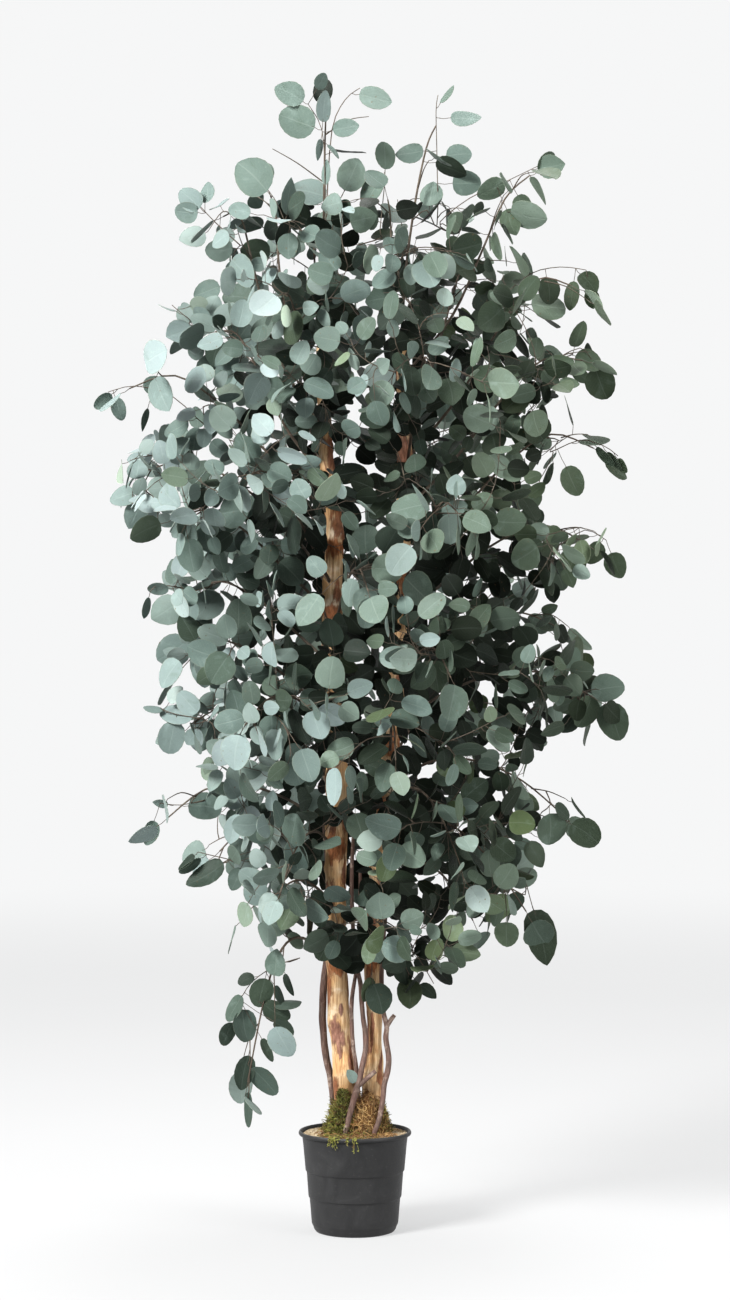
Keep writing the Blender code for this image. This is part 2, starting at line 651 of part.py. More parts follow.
def loft(name, rings, end, shift=0, first=0, collection=None, finish=None):
    """Closed solid through rings of four points. end is a blade's two tip points, or None for a plain cap.

    The rings from first on are numbered shift points further round than those before.
    """
    points = [p for i, ring in enumerate(rings) for p in (ring if i < first else ring[shift:] + ring[:shift])]
    faces = [(3, 2, 1, 0)]
    for i in range(len(rings) - 1):
        for k in range(4):
            a, b = 4 * i + k, 4 * i + (k + 1) % 4
            faces.append((a, b, b + 4, a + 4))
    last = 4 * (len(rings) - 1)
    if end:
        # Corner k of the unshifted ring is point (k - shift) % 4 of the last one
        a, b, c, d = (last + (k - shift) % 4 for k in range(4))
        top, under = len(points), len(points) + 1
        points += end
        faces += [(a, b, top), (c, d, under), (b, c, under, top), (d, a, top, under)]
    else:
        faces.append((last, last + 1, last + 2, last + 3))
    return add_object(name, points, faces, finish, collection)


def build_pot(finish):
    shade(lathe("pot", POT_OUTSIDE + POT_INSIDE, finish), 30)


def build_filling(finish, woods):
    """Cast filling with a blind hole for each trunk and side stem."""
    inner = [(r, z) for r, z in POT_INSIDE if r]
    (high_r, high_z), (low_r, low_z) = inner[1], inner[2]
    rim_r, rim_z = inner[0]
    top_r = high_r + (rim_r - high_r) * (FILL_TOP - high_z) / (rim_z - high_z)
    profile = (
        (0.0, FILL_BOTTOM), (inner[3][0] - FILL_GAP, FILL_BOTTOM), (low_r - FILL_GAP, low_z),
        (high_r - FILL_GAP, high_z), (top_r - FILL_GAP, FILL_TOP), (0.0, FILL_TOP),
    )
    fill = lathe("filling", profile, finish)
    holes = new_collection("holes")
    for name, (path, sides, ripple) in woods.items():
        tube("hole_" + name, lengthened(path), sides, None, holes, swell=HOLE_SWELL, ripple=ripple)
    combine(fill, "DIFFERENCE", holes)
    tidy(fill)


def lengthened(path):
    """The path with its foot carried down by the seat gap."""
    (foot, radius), (second, _) = path[0], path[1]
    return [(foot + unit(foot - second) * SEAT_GAP, radius)] + path[1:]


def build_moss(finishes, woods):
    """Mound of moss in a green and a golden half, cut clear of the trunks and side stems."""
    for name, finish, sign in (("moss_green", finishes[0], -1), ("moss_golden", finishes[1], 1)):
        points, faces = [], []
        cx, cy = MOSS_CENTRE
        count = MOSS_STEPS
        for ring, (share, height) in enumerate(((1.0, 0.0),) + MOSS_RINGS):
            for k in range(count):
                turn = math.tau * k / count
                lump = 1 + MOSS_LUMPS * math.sin(5 * turn + 2 * ring) + MOSS_DENTS * math.sin(9 * turn - ring)
                rise = height * (1 + MOSS_WAVES * math.sin(4 * turn + 1.7 * ring))
                points.append((
                    cx + MOSS_RADIUS[0] * share * lump * math.cos(turn),
                    cy + MOSS_RADIUS[1] * share * lump * math.sin(turn),
                    MOSS_BOTTOM + rise,
                ))
        rings = len(MOSS_RINGS)
        for ring in range(rings):
            for k in range(count):
                a, b = ring * count + k, ring * count + (k + 1) % count
                faces.append((a, b, b + count))
                faces.append((a, b + count, a + count))
        faces.append(tuple(reversed(range(count))))
        points.append((cx, cy, MOSS_BOTTOM + MOSS_RINGS[-1][1]))
        top = rings * count
        for k in range(count):
            faces.append((top + k, top + (k + 1) % count, len(points) - 1))
        moss = add_object(name, points, faces, finish)
        cutters = new_collection("cut_" + name)
        far = MOSS_CUTTER_REACH
        low, high = (MOSS_SPLIT_X - SEAT_GAP, far) if sign < 0 else (-far, MOSS_SPLIT_X + SEAT_GAP)
        corners = [(x, y, z) for x in (low, high) for y in (-far, far) for z in (0.0, 2 * far)]
        box = ((0, 1, 3, 2), (4, 6, 7, 5), (0, 4, 5, 1), (2, 3, 7, 6), (0, 2, 6, 4), (1, 5, 7, 3))
        add_object("half_" + name, corners, box, None, cutters)
        for wood, (path, sides, ripple) in woods.items():
            tube("gap_" + name + wood, path, sides, None, cutters, swell=MOSS_CLEARANCE, ripple=ripple)
        combine(moss, "DIFFERENCE", cutters)
        tidy(moss)


def build_trunk(name, path, ripple, finish, sprays):
    """A trunk with a drilled socket for each of its sprays."""
    trunk = tube(name, path, TRUNK_SIDES, finish, ripple=ripple)
    sockets = new_collection("sockets_" + name)
    for spray, (butt, line, radius, *_) in sprays.items():
        if SPRAYS[spray][0] != name:
            continue
        ahead = unit(line[0] - butt)
        wide = (radius + SOCKET_GAP) / math.cos(math.pi / SOCKET_SIDES)
        bore = [(butt - ahead * SOCKET_GAP, wide), (line[0] + ahead * EXIT_RUN, wide)]
        tube("socket_" + spray, bore, SOCKET_SIDES, None, sockets, flat=True)
    combine(trunk, "DIFFERENCE", sockets)
    shade(trunk, 50)


def build_vine(name, path, stub, finish):
    stem = tube(name, path, VINE_SIDES, finish)
    if stub:
        extra = new_collection("stub_" + name)
        tube("stub_piece_" + name, [(Vector(p[:3]), p[3]) for p in stub], VINE_SIDES - 1, None, extra)
        combine(stem, "UNION", extra)
        tidy(stem)
    shade(stem, 60)


def shoot(name, path, line, leaf, collection=None, finish=None):
    """A stem or twig that runs out into the leaf at its tip."""
    rings = square_rings(path, line)
    if not leaf:
        return loft(name, rings, None, collection=collection, finish=finish)
    blade, tip = leaf_rings(leaf)
    return loft(name, rings + blade, tip, least_twist(blade[0], rings[-1]), len(rings), collection, finish)


def build_spray(name, spray, finish):
    """One leafy spray: its stem, twigs and leaves joined in one solid."""
    butt, line, radius, twigs, tips, sides = spray
    path = [(butt, radius), (line[0], radius)]
    for k in range(1, STEM_STEPS + 1):
        path.append((line[k], radius + (STEM_TIP_RADIUS - radius) * k / STEM_STEPS))
    stem = shoot(name, path, line, tips[0], None, finish)
    growth = new_collection("growth_" + name)
    for i, (twig, leaf) in enumerate(zip(twigs, tips[1:])):
        # The last stretch of a twig is its tip leaf's own stalk
        path = [(point, TWIG_RADIUS) for point in (twig[:2] if leaf else twig)]
        shoot(f"{name}_twig_{i}", path, twig, leaf, growth)
    for i, leaf in enumerate(sides):
        rings, tip = leaf_rings(leaf)
        loft(f"{name}_leaf_{i}", [stalk_ring(leaf)] + rings, tip, collection=growth)
    combine(stem, "UNION", growth)


def main():
    for obj in list(bpy.data.objects):
        bpy.data.objects.remove(obj)
    black = material("black_plastic", (0.035, 0.037, 0.038), 0.55)
    grit = material("pale_filling", (0.62, 0.55, 0.43), 0.9)
    green_moss = material("green_moss", (0.16, 0.19, 0.05), 0.95)
    golden_moss = material("golden_moss", (0.42, 0.28, 0.11), 0.95)
    peeled = material("peeled_bark", (0.60, 0.42, 0.24), 0.75)
    brown = material("brown_bark", (0.20, 0.13, 0.10), 0.8)
    foliage = material("eucalyptus_foliage", (0.21, 0.29, 0.26), 0.6)

    woods = {
        name: (smooth_path(rings, TRUNK_RINGS), TRUNK_SIDES, bark_ripple(i * 2.1))
        for i, (name, rings) in enumerate(TRUNKS.items())
    }
    for name, (rings, _) in VINES.items():
        woods[name] = (smooth_path(rings, len(rings) + 2), VINE_SIDES, None)
    sprays = plan_sprays()
    build_pot(black)
    build_filling(grit, woods)
    build_moss((green_moss, golden_moss), woods)
    for name in TRUNKS:
        path, _, ripple = woods[name]
        build_trunk(name, path, ripple, peeled, sprays)
    for name, (_, stub) in VINES.items():
        build_vine(name, woods[name][0], stub, brown)
    for name, spray in sprays.items():
        build_spray(name, spray, foliage)


main()
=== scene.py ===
"""Dressed model of the potted eucalyptus tree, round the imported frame.

Metres, +Z up, the front towards -Y. The stems, twigs and first leaves are planned as in the part's source, so that
they lie where its solids are. Finer twigs and leaves are then grown round them.
"""

import math
import random

import bpy
import numpy as np
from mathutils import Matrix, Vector, noise


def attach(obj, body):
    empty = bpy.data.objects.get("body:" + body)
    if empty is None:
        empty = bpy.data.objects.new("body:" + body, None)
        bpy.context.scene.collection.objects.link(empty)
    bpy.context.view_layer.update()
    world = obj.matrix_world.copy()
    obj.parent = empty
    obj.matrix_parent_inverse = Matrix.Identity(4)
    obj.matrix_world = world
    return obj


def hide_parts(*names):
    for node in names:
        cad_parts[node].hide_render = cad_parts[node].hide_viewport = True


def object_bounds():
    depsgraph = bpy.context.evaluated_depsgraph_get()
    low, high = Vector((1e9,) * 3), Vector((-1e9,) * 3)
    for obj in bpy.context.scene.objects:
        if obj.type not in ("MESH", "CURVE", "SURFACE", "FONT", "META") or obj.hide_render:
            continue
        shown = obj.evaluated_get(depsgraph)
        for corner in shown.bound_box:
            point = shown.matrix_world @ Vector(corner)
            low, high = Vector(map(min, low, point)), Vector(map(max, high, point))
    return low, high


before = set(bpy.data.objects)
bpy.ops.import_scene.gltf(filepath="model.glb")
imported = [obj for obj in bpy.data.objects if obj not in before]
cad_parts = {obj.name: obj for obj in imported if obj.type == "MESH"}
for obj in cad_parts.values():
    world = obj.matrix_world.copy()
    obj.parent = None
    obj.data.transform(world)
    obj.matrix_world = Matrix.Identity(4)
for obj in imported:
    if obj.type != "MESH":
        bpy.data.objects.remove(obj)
CAD_BOX = [list(corner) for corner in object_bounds()]

# Camera: where the photograph was taken from, and its frame
CAMERA_AT = (0.0155, -4.6, 0.90)
CAMERA_LENS = 82.17
SENSOR_WIDE = 36.0
FRAME_WIDE, FRAME_HIGH = 730, 1300
FOCAL = CAMERA_LENS / SENSOR_WIDE * FRAME_HIGH
# Pixels in a metre at the trunks
TRUNK_SCALE = FOCAL / -CAMERA_AT[1]

# Height of the filling above the pot's underside
FILL_TOP = 0.1515

# Trunks: x, y, z and radius of rings, from the buried foot to the top
TRUNK_RINGS = 18
RIPPLE_OVAL = 0.06
RIPPLE_LOBES = 0.05
TRUNKS = {
    "trunk_left": (
        (-0.0140, 0.001, 0.030, 0.0178), (-0.0145, 0.0, 0.150, 0.0176), (-0.0158, 0.0, 0.235, 0.0172),
        (-0.0205, -0.001, 0.285, 0.0148), (-0.0265, -0.002, 0.337, 0.0160), (-0.0275, -0.003, 0.400, 0.0156),
        (-0.0290, -0.005, 0.480, 0.0160), (-0.0290, -0.005, 0.580, 0.0164), (-0.0280, -0.004, 0.700, 0.0158),
        (-0.0335, -0.002, 0.830, 0.0155), (-0.0350, 0.002, 0.980, 0.0148), (-0.0320, 0.004, 1.090, 0.0132),
        (-0.0460, 0.002, 1.210, 0.0112), (-0.0500, 0.0, 1.370, 0.0090),
    ),
    "trunk_right": (
        (0.0240, 0.011, 0.030, 0.0168), (0.0265, 0.012, 0.150, 0.0164), (0.0275, 0.012, 0.230, 0.0152),
        (0.0305, 0.012, 0.285, 0.0118), (0.0308, 0.011, 0.330, 0.0116), (0.0275, 0.010, 0.385, 0.0132),
        (0.0290, 0.009, 0.450, 0.0136), (0.0400, 0.010, 0.570, 0.0140), (0.0520, 0.012, 0.710, 0.0136),
        (0.0640, 0.010, 0.860, 0.0128), (0.0730, 0.006, 1.030, 0.0118), (0.0770, 0.004, 1.210, 0.0102),
        (0.0720, 0.004, 1.370, 0.0088),
    ),
}

# Thin side stems that climb beside the trunks, and the cut stubs on two of them
VINES = {
    "side_stem_left": (
        ((-0.0295, 0.0225, 0.060, 0.0048), (-0.0300, 0.0220, 0.150, 0.0050), (-0.0340, 0.0210, 0.200, 0.0052),
         (-0.0380, 0.0190, 0.234, 0.0054), (-0.0440, 0.0150, 0.262, 0.0056), (-0.0478, 0.0110, 0.290, 0.0054),
         (-0.0505, 0.0085, 0.330, 0.0056), (-0.0495, 0.0095, 0.362, 0.0056), (-0.0475, 0.0120, 0.392, 0.0054),
         (-0.0440, 0.0160, 0.422, 0.0050), (-0.0410, 0.0200, 0.500, 0.0044), (-0.0440, 0.0210, 0.580, 0.0040),
         (-0.0500, 0.0180, 0.660, 0.0034)),
        None,
    ),
    "side_stem_slim": (
        ((0.0060, -0.0100, 0.090, 0.0030), (0.0060, -0.0100, 0.150, 0.0030), (0.0060, -0.0105, 0.200, 0.0030),
         (0.0040, -0.0130, 0.238, 0.0031), (0.0010, -0.0165, 0.262, 0.0032), (-0.0030, -0.0195, 0.292, 0.0032),
         (-0.0050, -0.0215, 0.330, 0.0032), (-0.0048, -0.0205, 0.360, 0.0032), (0.0, -0.0130, 0.392, 0.0030),
         (0.0060, 0.0, 0.425, 0.0030), (0.0075, 0.0040, 0.465, 0.0028), (0.0080, 0.0, 0.560, 0.0026)),
        None,
    ),
    "side_stem_forked": (
        ((-0.0150, -0.0330, 0.090, 0.0044), (-0.0150, -0.0330, 0.150, 0.0044), (-0.0100, -0.0315, 0.175, 0.0046),
         (-0.0040, -0.0280, 0.200, 0.0048), (0.0035, -0.0240, 0.226, 0.0048), (0.0100, -0.0210, 0.252, 0.0042),
         (0.0160, -0.0150, 0.282, 0.0040), (0.0160, -0.0120, 0.308, 0.0040), (0.0120, -0.0110, 0.335, 0.0038),
         (0.0100, -0.0120, 0.362, 0.0036), (0.0085, -0.0150, 0.385, 0.0036), (0.0030, -0.0200, 0.412, 0.0034),
         (-0.0030, -0.0240, 0.470, 0.0032), (-0.0050, -0.0250, 0.560, 0.0030), (0.0, -0.0280, 0.640, 0.0028)),
        ((0.0035, -0.0240, 0.226, 0.0038), (0.0170, -0.0225, 0.238, 0.0038), (0.0320, -0.0210, 0.250, 0.0032)),
    ),
    "side_stem_right": (
        ((0.0290, -0.0310, 0.090, 0.0038), (0.0290, -0.0310, 0.150, 0.0038), (0.0360, -0.0270, 0.172, 0.0040),
         (0.0425, -0.0200, 0.203, 0.0040), (0.0455, -0.0150, 0.228, 0.0042), (0.0512, -0.0100, 0.252, 0.0044),
         (0.0520, -0.0080, 0.272, 0.0044), (0.0478, -0.0070, 0.298, 0.0042), (0.0490, -0.0070, 0.318, 0.0040),
         (0.0435, -0.0080, 0.342, 0.0038), (0.0410, -0.0090, 0.375, 0.0036), (0.0430, -0.0110, 0.440, 0.0034),
         (0.0500, -0.0120, 0.520, 0.0030)),
        ((0.0490, -0.0070, 0.316, 0.0036), (0.0545, -0.0080, 0.326, 0.0036), (0.0610, -0.0090, 0.335, 0.0032)),
    ),
}

# Moss mound round the foot of the trunks: its centre, its radii and its rings as (share of radius, height)
MOSS_CENTRE = (0.004, 0.004)
MOSS_RADIUS = (0.047, 0.035)
MOSS_RINGS = ((0.97, 0.014), (0.90, 0.032), (0.78, 0.050), (0.56, 0.062), (0.28, 0.070))

# Sprays: trunk, height of the socket, tip, rise of the arch near the tip, number of side twigs.
# A socket height of None puts the spray upright in the trunk's top.
SPRAYS = {
    "spray_leader_left": ("trunk_left", None, (-0.045, -0.010, 1.725), 0.00, 3),
    "spray_leader_right": ("trunk_right", None, (0.126, 0.010, 1.715), 0.00, 3),
    "spray_top_left": ("trunk_left", 1.325, (-0.130, -0.030, 1.600), 0.00, 2),
    "spray_top_arch": ("trunk_left", 1.255, (-0.205, 0.020, 1.575), 0.09, 2),
    "spray_top_back": ("trunk_left", 1.295, (-0.070, 0.150, 1.580), 0.02, 2),
    "spray_top_right": ("trunk_right", 1.330, (0.270, 0.000, 1.635), 0.00, 2),
    "spray_top_middle": ("trunk_right", 1.300, (0.050, -0.120, 1.580), 0.02, 2),
    "spray_top_right_back": ("trunk_right", 1.270, (0.190, 0.130, 1.520), 0.03, 2),
    "spray_left_a": ("trunk_left", 1.170, (-0.215, -0.030, 1.390), 0.05, 3),
    "spray_left_b": ("trunk_left", 1.110, (-0.345, -0.060, 1.300), 0.09, 1),
    "spray_left_c": ("trunk_left", 1.040, (-0.325, 0.030, 1.180), 0.06, 3),
    "spray_left_d": ("trunk_left", 0.960, (-0.275, -0.080, 1.100), 0.06, 3),
    "spray_left_e": ("trunk_left", 0.880, (-0.262, 0.070, 0.990), 0.06, 2),
    "spray_left_f": ("trunk_left", 0.800, (-0.255, -0.050, 0.895), 0.06, 2),
    "spray_left_g": ("trunk_left", 0.700, (-0.255, 0.030, 0.785), 0.07, 2),
    "spray_left_h": ("trunk_left", 0.620, (-0.290, -0.030, 0.640), 0.09, 1),
    "spray_left_i": ("trunk_left", 0.555, (-0.212, 0.040, 0.585), 0.08, 2),
    "spray_left_j": ("trunk_left", 0.505, (-0.125, -0.110, 0.505), 0.07, 2),
    "spray_left_low": ("trunk_left", 0.425, (-0.165, -0.030, 0.235), 0.19, 2),
    "spray_right_a": ("trunk_right", 1.200, (0.335, 0.000, 1.465), 0.09, 2),
    "spray_right_b": ("trunk_right", 1.120, (0.350, -0.040, 1.345), 0.06, 3),
    "spray_right_c": ("trunk_right", 1.030, (0.372, 0.030, 1.215), 0.09, 1),
    "spray_right_d": ("trunk_right", 0.950, (0.360, -0.040, 1.060), 0.09, 2),
    "spray_right_e": ("trunk_right", 0.860, (0.320, 0.070, 0.935), 0.06, 2),
    "spray_right_f": ("trunk_right", 0.780, (0.370, -0.030, 0.825), 0.08, 3),
    "spray_right_g": ("trunk_right", 0.690, (0.322, 0.040, 0.645), 0.08, 2),
    "spray_right_h": ("trunk_right", 0.610, (0.262, -0.060, 0.500), 0.10, 2),
    "spray_right_i": ("trunk_right", 0.545, (0.185, 0.060, 0.475), 0.08, 2),
    "spray_right_low": ("trunk_right", 0.480, (0.085, -0.070, 0.425), 0.08, 2),
    "spray_front_a": ("trunk_left", 1.215, (-0.110, -0.250, 1.420), 0.06, 2),
    "spray_front_b": ("trunk_right", 1.160, (0.110, -0.270, 1.320), 0.06, 2),
    "spray_front_c": ("trunk_left", 1.000, (-0.160, -0.280, 1.150), 0.06, 2),
    "spray_front_d": ("trunk_right", 0.990, (0.150, -0.280, 1.100), 0.06, 2),
    "spray_front_e": ("trunk_left", 0.920, (0.020, -0.310, 0.985), 0.08, 2),
    "spray_front_f": ("trunk_right", 0.820, (0.140, -0.290, 0.860), 0.08, 2),
    "spray_front_g": ("trunk_left", 0.760, (-0.160, -0.260, 0.790), 0.07, 2),
    "spray_front_h": ("trunk_right", 0.735, (0.060, -0.290, 0.740), 0.08, 2),
    "spray_front_i": ("trunk_right", 0.650, (0.150, -0.220, 0.600), 0.09, 2),
    "spray_front_j": ("trunk_left", 0.585, (-0.110, -0.200, 0.540), 0.09, 2),
    "spray_back_a": ("trunk_left", 1.140, (-0.120, 0.260, 1.350), 0.06, 2),
    "spray_back_b": ("trunk_right", 1.080, (0.130, 0.270, 1.240), 0.06, 2),
    "spray_back_c": ("trunk_left", 0.985, (-0.160, 0.280, 1.080), 0.06, 2),
    "spray_back_d": ("trunk_right", 0.905, (0.060, 0.300, 0.980), 0.07, 2),
    "spray_back_e": ("trunk_right", 0.720, (0.170, 0.260, 0.790), 0.08, 2),
    "spray_back_f": ("trunk_left", 0.660, (-0.130, 0.260, 0.720), 0.08, 2),
    "spray_back_g": ("trunk_left", 0.530, (-0.010, 0.210, 0.530), 0.09, 2),
}

# Main stems and their side twigs
STEM_BUTT_RADIUS = 0.0034
STEM_TIP_RADIUS = 0.0018
STEM_STEPS = 4
BUTT_SHARE = 0.25
EXIT_RUN = 0.008
ROOT_RISE_DEG = 38.0
LEADER_DEPTH = 0.014
TWIG_RADIUS = 0.0017
TWIG_LENGTH = (0.075, 0.125)
TWIG_BEND_SHARE = 0.52
TWIG_DROOP = (0.05, 0.35)

# Second and third points of a stem's curve: run along the root as a share of its reach, and pull back from the tip
ROOT_PULL = 0.36
TIP_PULL = 0.30
BUTT_TO_TRUNK = 0.42
# Loosest changes tried to bend a stem clear: turn in radians, lift and swing in metres
LOOSE_TURN = 0.7
LOOSE_LIFT = 0.08
LOOSE_SWING = 0.09

# Where twigs and leaves leave the main stem, as shares of its length outside the trunk
TWIG_SHARES = (0.30, 0.57, 0.81)
LEAF_SHARES = (0.42, 0.69)
TWIG_LEAF_SHARE = 0.4

# Leaves: petiole, blade length, width as a share of the length, droop of the blade in radians
PETIOLE = (0.015, 0.024)
LEAF_LENGTH = (0.042, 0.060)
LEAF_WIDTH_SHARE = (0.74, 0.96)
LEAF_DROOP = (0.15, 1.1)
# How much a blade faces away from the trunks, at random and up
FACING = (0.55, 0.75, 0.25)

# Clearance is kept on a grid of cells: a cell near a solid is taken
CELL = 0.007
SAMPLE = 0.0045
STEM_CLEAR_FROM = 0.035
TWIG_CLEAR_FROM = 0.020
SHARED = "shared"
SEED = 4100
TRIES = 90

UP = Vector((0.0, 0.0, 1.0))
NUDGE = Vector((1e-4, 0.0, 0.0))
# Direction that the corners of a tube are counted from
TUBE_ACROSS = (0.31, 0.94, 0.13)


def unit(vector):
    return Vector(vector).normalized()


def catmull_rom(rings, share):
    """Point and radius at a share of the way along (x, y, z, radius) rings."""
    span = share * (len(rings) - 1)
    i = min(int(span), len(rings) - 2)
    t = span - i
    a, b, c, d = (rings[min(max(i + k, 0), len(rings) - 1)] for k in (-1, 0, 1, 2))
    mixed = [
        0.5 * (2 * q + (r - p) * t + (2 * p - 5 * q + 4 * r - s) * t * t + (3 * q - p - 3 * r + s) * t**3)
        for p, q, r, s in zip(a, b, c, d)
    ]
    return Vector(mixed[:3]), mixed[3]


def smooth_path(rings, count):
    return [catmull_rom(rings, k / (count - 1)) for k in range(count)]


def trunk_at(name, height):
    """Centre and radius of a trunk at a height above the pot's underside."""
    low, high = 0.0, 1.0
    for _ in range(40):
        middle = (low + high) / 2
        if catmull_rom(TRUNKS[name], middle)[0].z < height:
            low = middle
        else:
            high = middle
    return catmull_rom(TRUNKS[name], low)


def bezier(points, t):
    a, b, c, d = points
    s = 1 - t
    return a * s**3 + b * (3 * s * s * t) + c * (3 * s * t * t) + d * t**3


def cut_curve(points, steps):
    return [bezier(points, k / steps) for k in range(steps + 1)]


def spot(line, share):
    """Point and direction at a share of the way along a polyline of even steps."""
    span = share * (len(line) - 1)
    i = min(int(span), len(line) - 2)
    return line[i].lerp(line[i + 1], span - i), unit(line[i + 1] - line[i])


def cell_of(point):
    return tuple(math.floor(x / CELL) for x in point)


class Space:
    """The taken cells, each with the name of what took it."""

    def __init__(self):
        self.owner = {}

    def take(self, points, owner):
        near = {
            (i + a, j + b, k + c)
            for i, j, k in {cell_of(p) for p in points}
            for a in (-1, 0, 1)
            for b in (-1, 0, 1)
            for c in (-1, 0, 1)
        }
        for cell in near:
            if self.owner.setdefault(cell, owner) != owner:
                self.owner[cell] = SHARED

    def clear(self, points, *passing):
        """True if each point lies in a free cell or in one that a passing owner alone has taken."""
        return all(self.owner.get(cell_of(p)) in (None, *passing) for p in points)


def along(points, step):
    """Points a step or less apart on a polyline."""
    found = []
    for a, b in zip(points, points[1:]):
        count = max(1, math.ceil((b - a).length / step))
        found += [a.lerp(b, k / count) for k in range(count)]
    return found + [points[-1]]


def take_wood(space, name, rings):
    """Takes the cells inside a trunk or a side stem."""
    for centre, radius in smooth_path(rings, 4 * len(rings) + 60):
        reach = max(radius - CELL / 2, 0.0)
        discs = [centre]
        for share in (0.5, 1.0):
            for k in range(10):
                turn = math.tau * k / 10
                discs.append(centre + Vector((math.cos(turn), math.sin(turn), 0.0)) * reach * share)
        space.take(discs, name)


def stem_route(spec, turn, lift, swing):
    """Butt, outer polyline and butt radius of a spray's main stem."""
    trunk, height, tip, rise, _ = spec
    tip = Vector(tip)
    if height is None:
        centre, radius = catmull_rom(TRUNKS[trunk], 1.0)
        start = UP
        butt = centre - start * LEADER_DEPTH
        leave = centre + start * EXIT_RUN
    else:
        centre, radius = trunk_at(trunk, height)
        away = tip - centre
        heading = math.atan2(away.y, away.x) + turn
        flat = Vector((math.cos(heading), math.sin(heading), 0.0))
        slope = math.radians(ROOT_RISE_DEG)
        start = flat * math.cos(slope) + UP * math.sin(slope)
        butt = centre + flat * radius * BUTT_SHARE
        leave = butt + start * ((1 - BUTT_SHARE) * radius / math.cos(slope) + EXIT_RUN)
    back = Vector((leave.x - tip.x, leave.y - tip.y, 0.0))
    second = leave + start * (tip - leave).length * ROOT_PULL
    third = tip + back * TIP_PULL + UP * (rise + lift) + Vector(swing)
    return butt, cut_curve((leave, second, third, tip), STEM_STEPS), min(STEM_BUTT_RADIUS, BUTT_TO_TRUNK * radius)


def plan_stems(space):
    """Routes the main stems one by one, each bent clear of what is there."""
    stems = {}
    for index, (name, spec) in enumerate(SPRAYS.items()):
        draw = random.Random(SEED + index)
        for attempt in range(TRIES):
            wide = attempt / TRIES
            turn = draw.uniform(-LOOSE_TURN, LOOSE_TURN) * wide
            lift = draw.uniform(-LOOSE_LIFT, LOOSE_LIFT) * wide
            swing = [draw.uniform(-LOOSE_SWING, LOOSE_SWING) * wide for _ in range(3)]
            butt, line, radius = stem_route(spec, turn, lift, swing)
            points = along(line, SAMPLE)
            near = [p for p in points if (p - line[0]).length <= STEM_CLEAR_FROM]
            if space.clear(points[len(near):]) and space.clear(near, spec[0]):
                break
        else:
            print("no clear route for", name)
        space.take(points, name)
        stems[name] = (butt, line, radius)
    return stems


def plan_twigs(space, name, line, count, draw):
    """Side twigs of a spray: short shoots that leave the main stem and droop."""
    twigs = []
    for k, share in enumerate(TWIG_SHARES[len(TWIG_SHARES) - count:]):
        root, ahead = spot(line, share)
        side = unit(ahead.cross(UP) + NUDGE)
        for attempt in range(TRIES):
            sign = 1 if (k + attempt) % 2 else -1
            length = draw.uniform(*TWIG_LENGTH) * (1 - 0.3 * share)
            first = unit(ahead * draw.uniform(0.35, 0.8) + side * sign * draw.uniform(0.5, 0.9)
                         + UP * draw.uniform(-0.25, 0.45))
            middle = root + first * length * TWIG_BEND_SHARE
            rest = first * (1 - TWIG_BEND_SHARE) - UP * draw.uniform(*TWIG_DROOP)
            twig = [root, middle, middle + rest * length]
            points = along(twig, SAMPLE)
            near = [p for p in points if (p - root).length <= TWIG_CLEAR_FROM]
            if space.clear(points[len(near):]) and space.clear(near, name):
                space.take(points, name)
                twigs.append(twig)
                break
    return twigs


def random_unit(draw):
    return unit([draw.gauss(0.0, 1.0) for _ in range(3)])


def make_leaf(root, stalk, draw, size):
    """A leaf on a stalk: it mostly faces away from the trunks, and its blade droops from the stalk."""
    away, loose, up = FACING
    facing = unit((root.x, root.y, 0.0)) * away + random_unit(draw) * loose + UP * up
    side = unit(facing.cross(stalk) + NUDGE)
    side = unit(side - stalk * side.dot(stalk))
    face = stalk.cross(side)
    droop = draw.uniform(*LEAF_DROOP)
    return {
        "root": root,
        "stalk": stalk,
        "side": side,
        "blade": stalk * math.cos(droop) - face * math.sin(droop),
        "face": face * math.cos(droop) + stalk * math.sin(droop),
        "petiole": draw.uniform(*PETIOLE),
        "length": draw.uniform(*LEAF_LENGTH) * size,
        "width": draw.uniform(*LEAF_WIDTH_SHARE),
        "bend": draw.uniform(-1.2, 1.2),
    }


def leaf_points(leaf):
    """Points over a leaf's stalk, and over its blade."""
    base = leaf["root"] + leaf["stalk"] * leaf["petiole"]
    stalk = along([leaf["root"], base], SAMPLE)
    length, half = leaf["length"], leaf["length"] * leaf["width"] * 0.5
    rows = math.ceil(length / SAMPLE)
    blade = []
    for i in range(rows + 1):
        t = i / rows
        reach = half * 0.94 * math.sqrt(max(0.0, 1 - (2 * t - 1) ** 2))
        columns = max(1, math.ceil(2 * reach / SAMPLE))
        lift = leaf["face"] * (leaf["bend"] * length * 0.16 * t * (1 - t))
        for j in range(columns + 1):
            blade.append(base + leaf["blade"] * length * t + leaf["side"] * reach * (2 * j / columns - 1) + lift)
    return stalk, blade


def try_leaf(space, name, root, aim, draw, size=1.0):
    """A leaf that is clear of everything, or None. aim gives the stalk's direction for a looseness of 0 to 1."""
    for attempt in range(TRIES):
        leaf = make_leaf(root, aim(attempt / TRIES), draw, size)
        stalk, blade = leaf_points(leaf)
        if space.clear(stalk, name) and space.clear(blade):
            space.take(blade + stalk, name)
            return leaf
    return None


